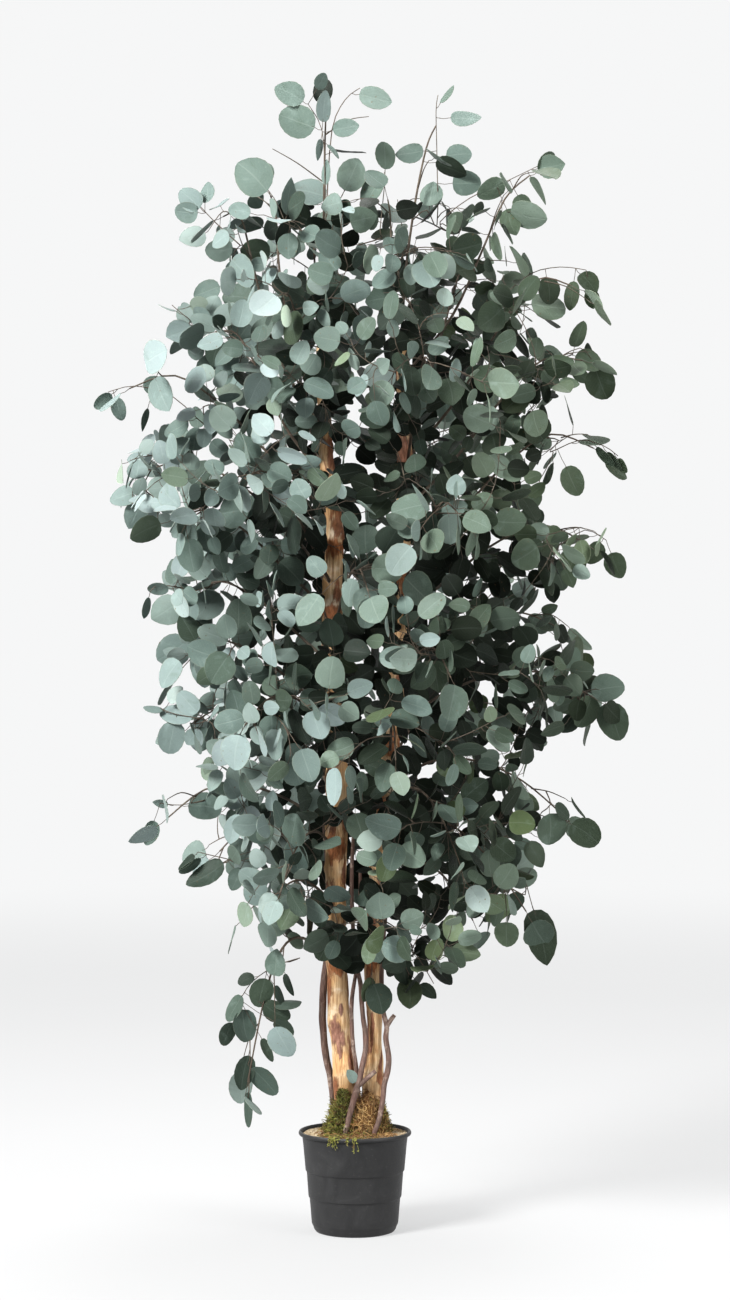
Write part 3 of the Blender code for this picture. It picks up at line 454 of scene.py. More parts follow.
def plan_leaves(space, name, line, twigs, draw):
    """The leaves of a spray: one at each tip, then those on the sides of its stem and of its first twig."""
    tips, sides = [], []
    for end, size in [(line, 0.9)] + [(twig, 0.95) for twig in twigs]:
        tip, ahead = spot(end, 1.0)
        tips.append(try_leaf(
            space, name, tip, lambda loose: unit(ahead + random_unit(draw) * (0.2 + loose) - UP * 0.15), draw, size))
    for end, share in [(line, share) for share in LEAF_SHARES] + [(twig, TWIG_LEAF_SHARE) for twig in twigs[:1]]:
        root, ahead = spot(end, share)
        across, up = stem_axes(end, ahead)

        def aim(loose):
            out = draw.choice((across, -across, up, -up))
            return unit(out + ahead * draw.uniform(-0.1, 0.9) + random_unit(draw) * 0.3 * loose)

        sides.append(try_leaf(space, name, root, aim, draw))
    return tips, [leaf for leaf in sides if leaf]


def stem_axes(line, ahead):
    """The two axes square to a stem, the first of them level."""
    across = unit((line[-1] - line[0]).cross(UP) + NUDGE)
    across = unit(across - ahead * across.dot(ahead))
    return across, ahead.cross(across)


def plan_sprays():
    """Every spray as its butt, polyline, radius, twigs, tip leaves and side leaves, none of which cross."""
    space = Space()
    for name, rings in TRUNKS.items():
        take_wood(space, name, rings)
    for name, (rings, _) in VINES.items():
        take_wood(space, name, rings)
    stems = plan_stems(space)
    draws = {name: random.Random(SEED + 500 + i) for i, name in enumerate(SPRAYS)}
    twigs = {
        name: plan_twigs(space, name, stems[name][1], spec[4], draws[name]) for name, spec in SPRAYS.items()
    }
    return {
        name: stems[name] + (twigs[name], *plan_leaves(space, name, stems[name][1], twigs[name], draws[name]))
        for name in SPRAYS
    }


# The photograph's frame

def to_frame(points):
    """Pixels (right, down) in the photograph's frame of points in metres."""
    points = np.asarray(points, float).reshape(-1, 3)
    far = points[:, 1] - CAMERA_AT[1]
    right = FRAME_WIDE / 2 + (points[:, 0] - CAMERA_AT[0]) / far * FOCAL
    down = FRAME_HIGH / 2 - (points[:, 2] - CAMERA_AT[2]) / far * FOCAL
    return np.stack([right, down], axis=1)


def from_frame(right, down, depth):
    """Point in metres that shows at a pixel, at a depth towards +Y."""
    far = depth - CAMERA_AT[1]
    return np.array((
        CAMERA_AT[0] + (right - FRAME_WIDE / 2) * far / FOCAL,
        depth,
        CAMERA_AT[2] - (down - FRAME_HIGH / 2) * far / FOCAL,
    ))


def height_at(down):
    """Height of a row of pixels at the trunks."""
    return CAMERA_AT[2] - (down - FRAME_HIGH / 2) / TRUNK_SCALE


def trunk_column(rings, height):
    """Column of pixels where a trunk's middle shows at a height."""
    x = np.interp(height, [r[2] for r in rings], [r[0] for r in rings])
    return FRAME_WIDE / 2 + (x - CAMERA_AT[0]) * TRUNK_SCALE


# Outline of the full crown in the photograph's frame: pixels down, left and right
OUTLINE = (
    (205, 210, 505), (222, 200, 512), (240, 198, 524), (265, 200, 540), (290, 190, 545), (305, 176, 534),
    (335, 172, 534), (345, 186, 556), (365, 190, 590), (385, 188, 590), (400, 196, 552), (425, 160, 550),
    (445, 134, 560), (470, 118, 560), (485, 114, 546), (520, 124, 544), (532, 160, 570), (545, 178, 600),
    (575, 156, 598), (595, 152, 560), (620, 172, 560), (635, 164, 584), (660, 160, 594), (676, 188, 606),
    (700, 158, 618), (722, 158, 616), (738, 172, 560), (765, 196, 532), (790, 206, 530), (808, 206, 546),
    (835, 224, 560), (850, 226, 548), (885, 226, 540), (905, 244, 524), (930, 262, 510), (948, 292, 488),
    (962, 318, 474), (978, 352, 446),
)
# Half depth of the crown, front to back, by height
DEPTHS = (
    (0.38, 0.10), (0.46, 0.20), (0.60, 0.27), (0.75, 0.315), (0.95, 0.335), (1.15, 0.33), (1.32, 0.30),
    (1.45, 0.255), (1.58, 0.19), (1.72, 0.10), (1.80, 0.04),
)
DEPTH_CENTRE = -0.005
# Openings in the foliage through which the trunks are seen: left, top, right and bottom pixels
WINDOWS = (
    (326, 515, 342, 540), (327, 552, 342, 612), (322, 446, 331, 470), (327, 772, 345, 800), (326, 826, 347, 898),
    (400, 548, 411, 588), (402, 438, 410, 456), (388, 737, 397, 756),
)
# Leaves farther back than this hide no window
WINDOW_DEPTH = 0.02
# Small gaps where the wall shows through the crown: centre and radius in pixels
GAPS = (
    (352, 455, 7), (262, 300, 6), (300, 262, 7), (372, 470, 6), (470, 300, 8), (420, 240, 9), (560, 470, 8),
    (505, 545, 6), (205, 455, 6), (225, 590, 6), (200, 690, 6), (545, 640, 8), (440, 880, 7), (300, 930, 6),
    (480, 250, 9), (250, 250, 8), (350, 235, 8), (540, 600, 6), (520, 900, 7), (395, 700, 5), (300, 720, 5),
    (232, 470, 6), (425, 770, 7), (455, 745, 5), (487, 690, 7), (384, 538, 5), (492, 540, 5), (353, 882, 5),
    (353, 862, 4), (470, 925, 6), (408, 748, 4), (238, 380, 5), (520, 350, 6), (196, 560, 5),
)
# Places beside the crown where no leaf shows: centre and radius in pixels
EMPTY = ((257, 142, 12), (438, 96, 9), (393, 107, 12), (425, 123, 10), (445, 1005, 14), (180, 816, 12), (178, 682, 9))


def crown_edges(down):
    rows = np.array(OUTLINE, float)
    return np.interp(down, rows[:, 0], rows[:, 1]), np.interp(down, rows[:, 0], rows[:, 2])


def in_outline(seen, margin=0.0):
    """Whether each pixel lies inside the full crown's outline."""
    left, right = crown_edges(seen[:, 1])
    tall = (seen[:, 1] >= OUTLINE[0][0] - 8) & (seen[:, 1] <= OUTLINE[-1][0])
    return tall & (seen[:, 0] > left + margin) & (seen[:, 0] < right - margin)


def crown_share(points):
    """How far out each point lies in the crown, from 0 on its axis to 1 on its surface."""
    seen = to_frame(points)
    left, right = crown_edges(seen[:, 1])
    heights, halves = zip(*DEPTHS)
    deep = (points[:, 1] - DEPTH_CENTRE) / np.interp(points[:, 2], heights, halves)
    wide = (seen[:, 0] - (left + right) / 2) / ((right - left) / 2)
    return (np.abs(deep) ** 2.4 + np.abs(wide) ** 2.4) ** (1 / 2.4)


def in_window(seen, window):
    """Which points of a view lie in a window."""
    left, top, right, bottom = window
    return (seen[:, 0] > left) & (seen[:, 0] < right) & (seen[:, 1] > top) & (seen[:, 1] < bottom)


def hides_opening(points):
    """Whether any of the points stands in front of a place where a trunk or the wall shows."""
    seen = to_frame(points)
    front = points[:, 1] < WINDOW_DEPTH
    if any((in_window(seen, window) & front).any() for window in WINDOWS):
        return True
    for right, down, radius in GAPS:
        if (np.hypot(seen[:, 0] - right, seen[:, 1] - down) < radius).any():
            return True
    return False


def beside_crown(points):
    """Whether the middle of the points shows in a place where the photograph has no leaf."""
    middle = to_frame(points).mean(axis=0)
    return any(math.hypot(middle[0] - right, middle[1] - down) < reach for right, down, reach in EMPTY)


# Clearance between finer leaves, on a finer grid

FINE_CELL = 0.0045
NEAR_CELLS = np.array([(a, b, c) for a in (-1, 0, 1) for b in (-1, 0, 1) for c in (-1, 0, 1)])
LEAF_OWNER = 9999


class Crowd:
    """The taken cells of a box, each with the number of what took it."""

    def __init__(self, low, high):
        self.low = np.array(low, float) - 3 * FINE_CELL
        self.size = tuple(int(x) for x in np.ceil((np.array(high) - self.low) / FINE_CELL) + 4)
        self.owner = np.zeros(int(np.prod(self.size)), np.int32)

    def cells(self, points):
        index = ((points - self.low) / FINE_CELL).astype(int)
        return np.clip(index, 1, np.array(self.size) - 2)

    def take(self, points, owner):
        index = np.unique(self.cells(np.asarray(points, float)), axis=0)
        near = (index[:, None, :] + NEAR_CELLS[None]).reshape(-1, 3)
        self.owner[np.ravel_multi_index(near.T, self.size)] = owner

    def clear(self, points, passing=0):
        found = self.owner[np.ravel_multi_index(self.cells(points).T, self.size)]
        return bool(((found == 0) | (found == passing)).all())


def fine_points(points, step=0.004):
    """Points a step or less apart on a polyline, as an array."""
    points = np.asarray(points, float)
    found = []
    for a, b in zip(points, points[1:]):
        count = max(1, math.ceil(np.linalg.norm(b - a) / step))
        found.append(a + (b - a) * (np.arange(count) / count)[:, None])
    return np.concatenate(found + [points[-1:]])


def blade_spots(rows=12):
    """Evenly spread places on a blade, as shares (along, across) of its length and half width."""
    places = []
    for i in range(rows + 1):
        t = i / rows
        half = 0.95 * math.sqrt(max(0.0, 1 - (2 * t - 1) ** 2))
        columns = max(1, round(half * 10))
        places += [(t, half * (2 * j / columns - 1)) for j in range(columns + 1)]
    return np.array(places)


BLADE_SPOTS = blade_spots()


def leaf_cloud(leaf):
    """Points over a leaf's stalk, and over its blade, as arrays."""
    root, stalk, side, blade, face = (np.array(leaf[k]) for k in ("root", "stalk", "side", "blade", "face"))
    base = root + stalk * leaf["petiole"]
    length, half = leaf["length"], leaf["length"] * leaf["width"] / 2
    t, x = BLADE_SPOTS[:, :1], BLADE_SPOTS[:, 1:]
    lift = face * (leaf["bend"] * length * 0.16) * (t * (1 - t))
    stem = root + stalk * (leaf["petiole"] * np.array([[0.5], [0.75], [1.0]]))
    return stem, base + blade * (length * t) + side * (half * x) + lift


# Pixels down to which the crown is open
OPEN_TOP = 282
# Leaves nearer than this hide the trunks
VEIL_DEPTH = -0.030
FINE_PETIOLE = (0.011, 0.021)
FINE_LENGTH = (0.028, 0.052)
FINE_WIDTH = (0.62, 1.0)
# Twigs grown from the first wood: radii at root and tip, and tries for each twig and leaf
FINE_TWIG_RADII = (0.00095, 0.00055)
FINE_TWIG_TRIES = 5
# Step between leaves, and share of the length where they start, on main stems, side twigs and finer twigs
STEM_LEAVES, TWIG_LEAVES, FINE_TWIG_LEAVES = (0.024, 0.35), (0.018, 0.30), (0.017, 0.22)
FINE_LEAF_TRIES = 9
# Steps between kept points of wood and between places for leaves, and the most points kept
WOOD_STEP = 0.006
LEAF_ROOT_STEP = 0.003
WOOD_ROOM = 90000
# Pixels each side of a trunk's middle that leaves veil
TRUNK_BAND = 13


def fine_leaf(root, stalk, face, draw, size=1.0, droop=None):
    """A leaf whose face is turned as near to a wanted direction as its stalk lets it."""
    side = np.cross(face, stalk)
    if np.linalg.norm(side) < 1e-3:
        side = np.cross(face + np.array((0.1, 0.2, 0.05)), stalk)
    side /= np.linalg.norm(side)
    face = np.cross(stalk, side)
    droop = draw.uniform(-0.1, 1.0) if droop is None else droop
    return {
        "root": root,
        "stalk": stalk,
        "side": side,
        "blade": stalk * math.cos(droop) - face * math.sin(droop),
        "face": face * math.cos(droop) + stalk * math.sin(droop),
        "petiole": draw.uniform(*FINE_PETIOLE),
        "length": draw.uniform(*FINE_LENGTH) * size,
        "width": draw.uniform(*FINE_WIDTH),
        "bend": draw.uniform(-1.2, 1.2),
    }


def random_direction(draw):
    v = np.array([draw.gauss(0, 1) for _ in range(3)])
    return v / np.linalg.norm(v)


def normal(v):
    v = np.asarray(v, float)
    return v / max(np.linalg.norm(v), 1e-9)


def outward(root, draw):
    """A wanted facing: away from the crown's axis, towards the front or back, up and at random."""
    flat = normal((root[0] - 0.02, root[1], 0.0))
    front = -1.0 if root[1] < 0.06 else 1.0
    return normal(flat * 0.45 + np.array((0.0, front * 0.36, 0.26)) + random_direction(draw) * 1.0)


class Growth:
    """All wood and leaves of the sprays, and what each covers in the photograph's frame and from the side."""

    MAP_STEP = 3

    def __init__(self, sprays):
        self.names = list(sprays)
        low, high = CAD_BOX
        self.low = np.array(low) - np.array((0.020, 0.017, 0.0))
        self.high = np.array(high) + np.array((0.020, 0.017, 0.045))
        self.crowd = Crowd(self.low, self.high)
        self.twigs = {name: [] for name in self.names}
        self.leaves = {name: [] for name in self.names}
        self.count = 0
        self.wood = np.zeros((WOOD_ROOM, 3))
        self.ahead = np.zeros((WOOD_ROOM, 3))
        self.spray = np.zeros(WOOD_ROOM, int)
        self.front = np.zeros((FRAME_HIGH // self.MAP_STEP + 2, FRAME_WIDE // self.MAP_STEP + 2), bool)
        self.flank = self.front.copy()
        self.veil = self.front.copy()

    def side_frame(self, points):
        """Pixels of points seen square from the side, at the photograph's scale."""
        return np.stack([FRAME_WIDE / 2 + points[:, 1] * TRUNK_SCALE,
                         FRAME_HIGH / 2 - (points[:, 2] - CAMERA_AT[2]) * TRUNK_SCALE], axis=1)

    def cover(self, points):
        near = points[points[:, 1] < VEIL_DEPTH]
        views = [(to_frame(points), self.front), (self.side_frame(points), self.flank)]
        if len(near):
            views.append((to_frame(near), self.veil))
        for seen, grid in views:
            cells = (seen / self.MAP_STEP).astype(int)
            cells = np.clip(cells, 0, np.array(grid.shape[::-1]) - 1)
            grid[cells[:, 1], cells[:, 0]] = True

    def add_wood(self, name, line, radii):
        points = fine_points(line, WOOD_STEP)
        ahead = np.gradient(points, axis=0)
        ahead /= np.maximum(np.linalg.norm(ahead, axis=1), 1e-9)[:, None]
        number = self.names.index(name)
        n = self.count
        self.wood[n:n + len(points)] = points
        self.ahead[n:n + len(points)] = ahead
        self.spray[n:n + len(points)] = number
        self.count += len(points)
        self.crowd.take(points, number + 1)
        self.twigs[name].append((np.asarray(line, float), radii))

    def add_leaf(self, name, leaf):
        stem, blade = leaf_cloud(leaf)
        self.crowd.take(np.concatenate([stem[1:], blade]), LEAF_OWNER)
        self.cover(blade)
        self.leaves[name].append(leaf)

    def allowed(self, points):
        """Whether points lie in the crown's box and outline and leave the windows open."""
        if (points < self.low).any() or (points > self.high).any():
            return False
        seen = to_frame(points)
        # About half of the tries are refused in the open top
        if seen[:, 1].mean() < OPEN_TOP and (int(seen[0, 0] * 7 + seen[0, 1] * 13) % 10) < 5:
            return False
        return bool(in_outline(seen).all()) and not hides_opening(points)

    def fits(self, name, leaf):
        """Whether a leaf is allowed and clear of what has grown."""
        stem, blade = leaf_cloud(leaf)
        number = self.names.index(name) + 1
        return self.allowed(blade[::5]) and self.crowd.clear(blade) and self.crowd.clear(stem[1:], number)

    def leafy_twig(self, name, root, ahead, target, draw):
        """Grows a twig from a point of the wood to a target, with alternate leaves."""
        reach = np.linalg.norm(target - root)
        number = self.names.index(name) + 1
        for attempt in range(FINE_TWIG_TRIES):
            loose = random_direction(draw) * reach * 0.12 * attempt
            middle = root + ahead * reach * 0.25 + (target - root) * 0.28 + np.array((0, 0, reach * 0.14)) + loose
            t = np.linspace(0, 1, 6)[:, None]
            line = root * (1 - t) ** 2 + middle * (2 * t * (1 - t)) + target * t**2
            points = fine_points(line)
            away = np.linalg.norm(points - root, axis=1) > 0.012
            if self.crowd.clear(points[away], number) and not hides_opening(points):
                break
        else:
            return
        self.add_wood(name, line, FINE_TWIG_RADII)
        self.leaf_line(name, line, draw, *FINE_TWIG_LEAVES)

    def leaf_line(self, name, line, draw, step, first, last=1.0):
        """Alternate leaves a step apart on a twig between two shares of its length, and one at its tip."""
        points = fine_points(line, LEAF_ROOT_STEP)
        ahead = np.gradient(points, axis=0)
        total = LEAF_ROOT_STEP * len(points)
        count = max(1, round(total * (1 - first) / step))
        turn = draw.uniform(0, math.tau)
        for k in range(count + 1):
            share = first + (last - first) * k / count
            i = min(int(share * (len(points) - 1)), len(points) - 1)
            forward = normal(ahead[i])
            across = normal(np.cross(forward, (0.03, 0.02, 1.0)))
            up = np.cross(across, forward)
            for attempt in range(FINE_LEAF_TRIES):
                angle = turn + k * 2.6 + draw.uniform(-0.5, 0.5) * (1 + attempt * 0.4)
                out = across * math.cos(angle) + up * math.sin(angle)
                lean = draw.uniform(0.25, 0.9) if k < count else 3.0
                stalk = normal(out + forward * lean - np.array((0, 0, 0.55)) + random_direction(draw) * 0.25)
                leaf = fine_leaf(points[i], stalk, outward(points[i], draw), draw, 1.0 - 0.12 * (k == count))
                if self.fits(name, leaf):
                    self.add_leaf(name, leaf)
                    break

    def nearest(self, target, least, most):
        apart = np.linalg.norm(self.wood[:self.count] - target, axis=1)
        apart[apart < least] = 9.0
        i = int(apart.argmin())
        return i if apart[i] <= most else None

    def fill(self, targets, draw):
        """Grows leafy twigs to the targets, the nearest first."""
        left = list(targets)
        for sweep in range(6):
            waiting = []
            for target in left:
                i = self.nearest(target, 0.05, 0.10 + 0.02 * sweep)
                if i is None:
                    waiting.append(target)
                    continue
                self.leafy_twig(self.names[self.spray[i]], self.wood[i].copy(), self.ahead[i], target, draw)
            left = waiting

    def close_gaps(self, grid, project, inside, view, draw, share, limit, front=9.0):
        """Adds single leaves where one view shows through the crown, until a share of it is covered."""
        rows, columns = np.mgrid[0:grid.shape[0], 0:grid.shape[1]]
        spots = np.stack([columns.ravel(), rows.ravel()], axis=1) * self.MAP_STEP + self.MAP_STEP / 2
        within = inside(spots).reshape(grid.shape)
        grown = 0
        for _ in range(3):
            holes = np.argwhere(within & ~grid)
            order = list(range(len(holes)))
            draw.shuffle(order)
            seen = project(self.wood[:self.count])
            for k in order:
                row, column = holes[k]
                if grid[row, column] or grown >= limit:
                    continue
                if 1 - (within & ~grid).sum() / within.sum() > share:
                    return
                spot_at = np.array((column + 0.5, row + 0.5)) * self.MAP_STEP
                apart = np.hypot(*(seen - spot_at).T)
                near = np.flatnonzero((apart > 14) & (apart < 34) & (self.wood[:self.count, 1] < front))
                if not len(near):
                    continue
                for _ in range(FINE_TWIG_TRIES):
                    i = int(near[draw.randrange(len(near))])
                    root = self.wood[i]
                    flat = (spot_at - seen[i]) / TRUNK_SCALE
                    if view == "front":
                        level, toward = (flat[0], 0.0, -flat[1]), np.array((0.0, -1.0, 0.2))
                    else:
                        level, toward = (0.0, flat[0], -flat[1]), np.array((1.0, 0.0, 0.2))
                    stalk = normal(np.array(level) + random_direction(draw) * 0.006)
                    if draw.random() < 0.5:
                        toward = toward * np.array((-1.0, -1.0, 1.0))
                    leaf = fine_leaf(root.copy(), stalk, normal(toward + random_direction(draw) * 0.45), draw,
                                     droop=draw.uniform(-0.1, 0.4))
                    name = self.names[self.spray[i]]
                    if self.fits(name, leaf):
                        self.add_leaf(name, leaf)
                        grown += 1
                        break


def smooth_line(points, steps):
    """Catmull-Rom curve through points, as an array."""
    rings = [tuple(p) + (0.0,) for p in points]
    count = steps * (len(points) - 1) + 1
    return np.array([catmull_rom(rings, k / (count - 1))[0] for k in range(count)])


# Sprigs that stand out of the crown: tone of its leaves, depth, stem in pixels from inside the crown to its tip, and
# leaves as the pixels of a blade's middle, its length in pixels, its width as a share of it and its turn away from the
# camera. The tone is partly the leaves' own colour and partly painted shade, darkest for the sprigs low under the
# crown and on the right
SPRIGS = (
    (0.52, -0.04, ((326, 235), (325, 180), (322, 130), (308, 104)),
     ((289, 94, 32, 0.85, 20), (297, 121, 38, 0.80, 25), (321, 81, 18, 0.8, 50), (324, 106, 32, 0.45, 40),
      (346, 128, 27, 0.85, 25), (319, 150, 22, 0.3, 50), (333, 152, 18, 0.3, 50), (326, 172, 26, 0.35, 40))),
    (0.60, -0.03, ((327, 200), (332, 130), (345, 100), (360, 88)), ((376, 97, 34, 0.75, 15),)),
    (0.45, 0.02, ((437, 225), (437, 160), (436, 112), (438, 95)),
     ((447, 94, 22, 0.35, 60), (466, 118, 31, 0.62, 30), (409, 151, 29, 0.8, 20), (459, 155, 26, 0.9, 15),
      (467, 183, 29, 0.85, 15), (431, 193, 27, 0.85, 20))),
    (0.45, 0.00, ((440, 222), (470, 198), (505, 182), (538, 166)),
     ((552, 166, 27, 0.85, 15), (538, 191, 32, 0.35, 60), (523, 206, 24, 0.7, 30), (491, 190, 30, 0.6, 40),
      (512, 222, 28, 0.8, 20))),
    (0.55, -0.06, ((290, 235), (278, 205), (268, 190)), ((252, 177, 42, 0.9, 10), (289, 196, 38, 0.35, 60))),
    (0.50, 0.00, ((330, 240), (338, 205), (345, 190)), ((352, 174, 36, 0.8, 15), (307, 190, 40, 0.8, 30))),
    (0.40, 0.01, ((380, 230), (384, 190), (385, 170)), ((386, 155, 29, 0.7, 30), (372, 192, 32, 0.7, 30))),
    (0.62, -0.02, ((240, 245), (215, 222), (200, 206)),
     ((190, 199, 27, 0.8, 20), (205, 192, 22, 0.7, 40), (186, 212, 24, 0.8, 30))),
    (0.30, 0.02, ((500, 300), (530, 274), (560, 267), (586, 270)),
     ((549, 291, 27, 0.85, 20), (572, 296, 30, 0.5, 30), (588, 284, 26, 0.8, 25), (592, 299, 20, 0.8, 25))),
    (0.30, 0.02, ((555, 360), (580, 348), (592, 360)),
     ((601, 384, 33, 0.9, 15), (588, 362, 28, 0.85, 20), (578, 333, 30, 0.5, 40))),
    (0.42, -0.02, ((205, 425), (172, 396), (135, 386), (108, 392)),
     ((103, 401, 22, 0.5, 40), (119, 409, 24, 0.6, 30), (155, 385, 24, 0.75, 25), (145, 420, 24, 0.2, 70))),
    (0.36, 0.0, ((550, 452), (580, 440), (604, 446), (618, 456)),
     ((605, 457, 26, 0.25, 60), (614, 462, 24, 0.25, 60), (622, 466, 17, 0.5, 40), (590, 442, 22, 0.35, 50),
      (573, 481, 32, 0.75, 20))),
    (0.30, 0.0, ((560, 545), (585, 530), (606, 540)),
     ((616, 566, 28, 0.75, 20), (594, 553, 25, 0.7, 30), (576, 562, 30, 0.7, 30), (575, 540, 30, 0.3, 60))),
    (0.36, 0.0, ((570, 700), (590, 690), (600, 690)),
     ((608, 689, 34, 0.85, 15), (613, 722, 40, 0.75, 15), (585, 712, 34, 0.7, 20))),
    (0.30, 0.0, ((540, 815), (560, 818), (570, 822)),
     ((585, 834, 34, 0.85, 15), (550, 830, 36, 0.85, 20), (562, 812, 22, 0.6, 40))),
    (0.20, -0.04, ((525, 880), (532, 905), (536, 915)), ((541, 938, 58, 0.55, 15), (512, 905, 30, 0.6, 25))),
    (0.15, -0.05, ((400, 950), (408, 972), (412, 976)),
     ((409, 994, 30, 0.85, 10), (428, 992, 22, 0.6, 30), (404, 972, 26, 0.8, 20))),
    (0.24, -0.05, ((372, 955), (372, 975), (372, 980)), ((378, 999, 32, 0.85, 10), (368, 990, 26, 0.5, 40))),
    (0.60, 0.0, ((205, 640), (192, 636), (184, 638)), ((172, 651, 36, 0.9, 15), (205, 668, 40, 0.8, 15))),
    (0.62, 0.0, ((160, 500), (142, 490), (134, 490)), ((122, 497, 26, 0.85, 20), (136, 515, 32, 0.7, 20))),
    (0.55, 0.0, ((190, 590), (160, 585), (150, 592)), ((146, 608, 22, 0.3, 60), (158, 590, 22, 0.5, 50))),
    (0.62, 0.0, ((190, 320), (180, 312), (172, 305)), ((167, 307, 20, 0.2, 70), (180, 331, 32, 0.85, 10))),
    (0.58, 0.0, ((205, 720), (175, 714), (160, 708)),
     ((153, 708, 20, 0.4, 50), (172, 738, 34, 0.8, 10), (176, 714, 34, 0.6, 25))),
    (0.42, 0.0, ((205, 800), (180, 805), (160, 803)),
     ((150, 833, 26, 0.6, 20), (160, 804, 16, 0.5, 50), (205, 808, 34, 0.8, 15))),
    (0.25, 0.0, ((230, 860), (210, 855), (198, 852)),
     ((190, 866, 26, 0.3, 50), (204, 873, 44, 0.5, 30), (186, 862, 22, 0.4, 50))),
    (0.24, -0.03, ((300, 958), (275, 966), (252, 982), (240, 1000)),
     ((246, 980, 18, 0.7, 30), (262, 993, 30, 0.8, 20), (281, 995, 22, 0.4, 50), (233, 1008, 30, 0.5, 40),
      (246, 1026, 34, 0.7, 20), (277, 1012, 30, 0.7, 20), (284, 1028, 24, 0.6, 30), (229, 1035, 26, 0.6, 30),
      (268, 1050, 26, 0.35, 40), (289, 985, 24, 0.3, 50))),
    (0.24, -0.03, ((250, 1040), (250, 1058), (248, 1064)),
     ((245, 1073, 36, 0.55, 20), (263, 1083, 38, 0.55, 25))),
    (0.26, -0.03, ((249, 1075), (249, 1090), (248, 1098)), ((248, 1110, 36, 0.25, 40),)),
    (0.52, -0.026, ((357, 1086), (356, 1085), (355, 1084)), ((354, 1081, 15, 0.7, 20),)),
)


SPRIG_RADII = (0.0011, 0.0006)
# A sprig this far from the nearest wood is joined to it by a bent length of stem
SPRIG_JOIN = (0.012, 0.15)
# Stalk of a leaf that has room for one, least distance that makes room, and least stalk
SPRIG_STALK, SPRIG_ROOM, SPRIG_LEAST = 0.012, 0.006, 0.006


def place_sprigs(growth, draw):
    """Grows the sprigs that stand out of the crown, each from the nearest wood."""
    for tone, depth, stem, leaves in SPRIGS:
        line = [from_frame(*pixel, depth) for pixel in stem]
        i = growth.nearest(line[0], 0.0, 9.0)
        name = growth.names[growth.spray[i]]
        root = growth.wood[i].copy()
        # The shoot low on the forked side stem grows from that stem, not from a spray
        if SPRIG_JOIN[0] < np.linalg.norm(root - line[0]) < SPRIG_JOIN[1]:
            line = [root, (root + line[0]) / 2 + growth.ahead[i] * 0.02] + line
        line = smooth_line(line, 3)
        growth.add_wood(name, line, SPRIG_RADII)
        points = fine_points(line, LEAF_ROOT_STEP)
        for right, down, long, width, tilt in leaves:
            length = long / (FOCAL / (depth - CAMERA_AT[1]))
            middle = from_frame(right, down, depth)
            apart = np.linalg.norm(points - middle, axis=1)
            roomy = apart.min() < length / 2 + SPRIG_ROOM
            i = int((np.abs(apart - (length / 2 + SPRIG_STALK)) if roomy else apart).argmin())
            root = points[i]
            stalk = normal(middle - root)
            lean = math.radians(tilt) * draw.choice((-1, 1))
            view = np.array((0.0, -1.0, 0.12))
            facing = view * math.cos(lean) + np.cross(stalk, view) * math.sin(lean)
            leaf = fine_leaf(root, stalk, normal(facing), draw, droop=draw.uniform(-0.05, 0.2))
            leaf["tone"] = tone
            leaf["length"] = length
            leaf["petiole"] = max(SPRIG_LEAST, np.linalg.norm(middle - root) - length / 2)
            # A blade seen at a slant looks narrower than it is
            leaf["width"] = min(0.95, width / math.cos(lean))
            growth.add_leaf(name, leaf)


def crown_targets(draw, apart, count):
    """Scattered points in the crown, denser near its surface."""
    found = np.zeros((0, 3))
    low, high = CAD_BOX
    for _ in range(count):
        point = np.array([[draw.uniform(low[k], high[k]) for k in range(3)]])
        if point[0, 2] < 0.36 or not in_outline(to_frame(point), 10)[0]:
            continue
        share = crown_share(point)[0]
        if share > 0.97 or draw.random() > 0.30 + 0.70 * share**2:
            continue
        if len(found) and np.linalg.norm(found - point, axis=1).min() < apart:
            continue
        found = np.concatenate([found, point])
    return list(found)


def veil_targets(draw):
    """Points in front of the trunks inside the crown, apart from the openings there."""
    found = []
    for rings in TRUNKS.values():
        for down in list(range(300, 945, 18)) * 2:
            right = trunk_column(rings, height_at(down))
            at = from_frame(right + draw.uniform(-12, 12), down + draw.uniform(-8, 8), draw.uniform(-0.19, -0.06))
            if not hides_opening(at[None]):
                found.append(at)
    return found


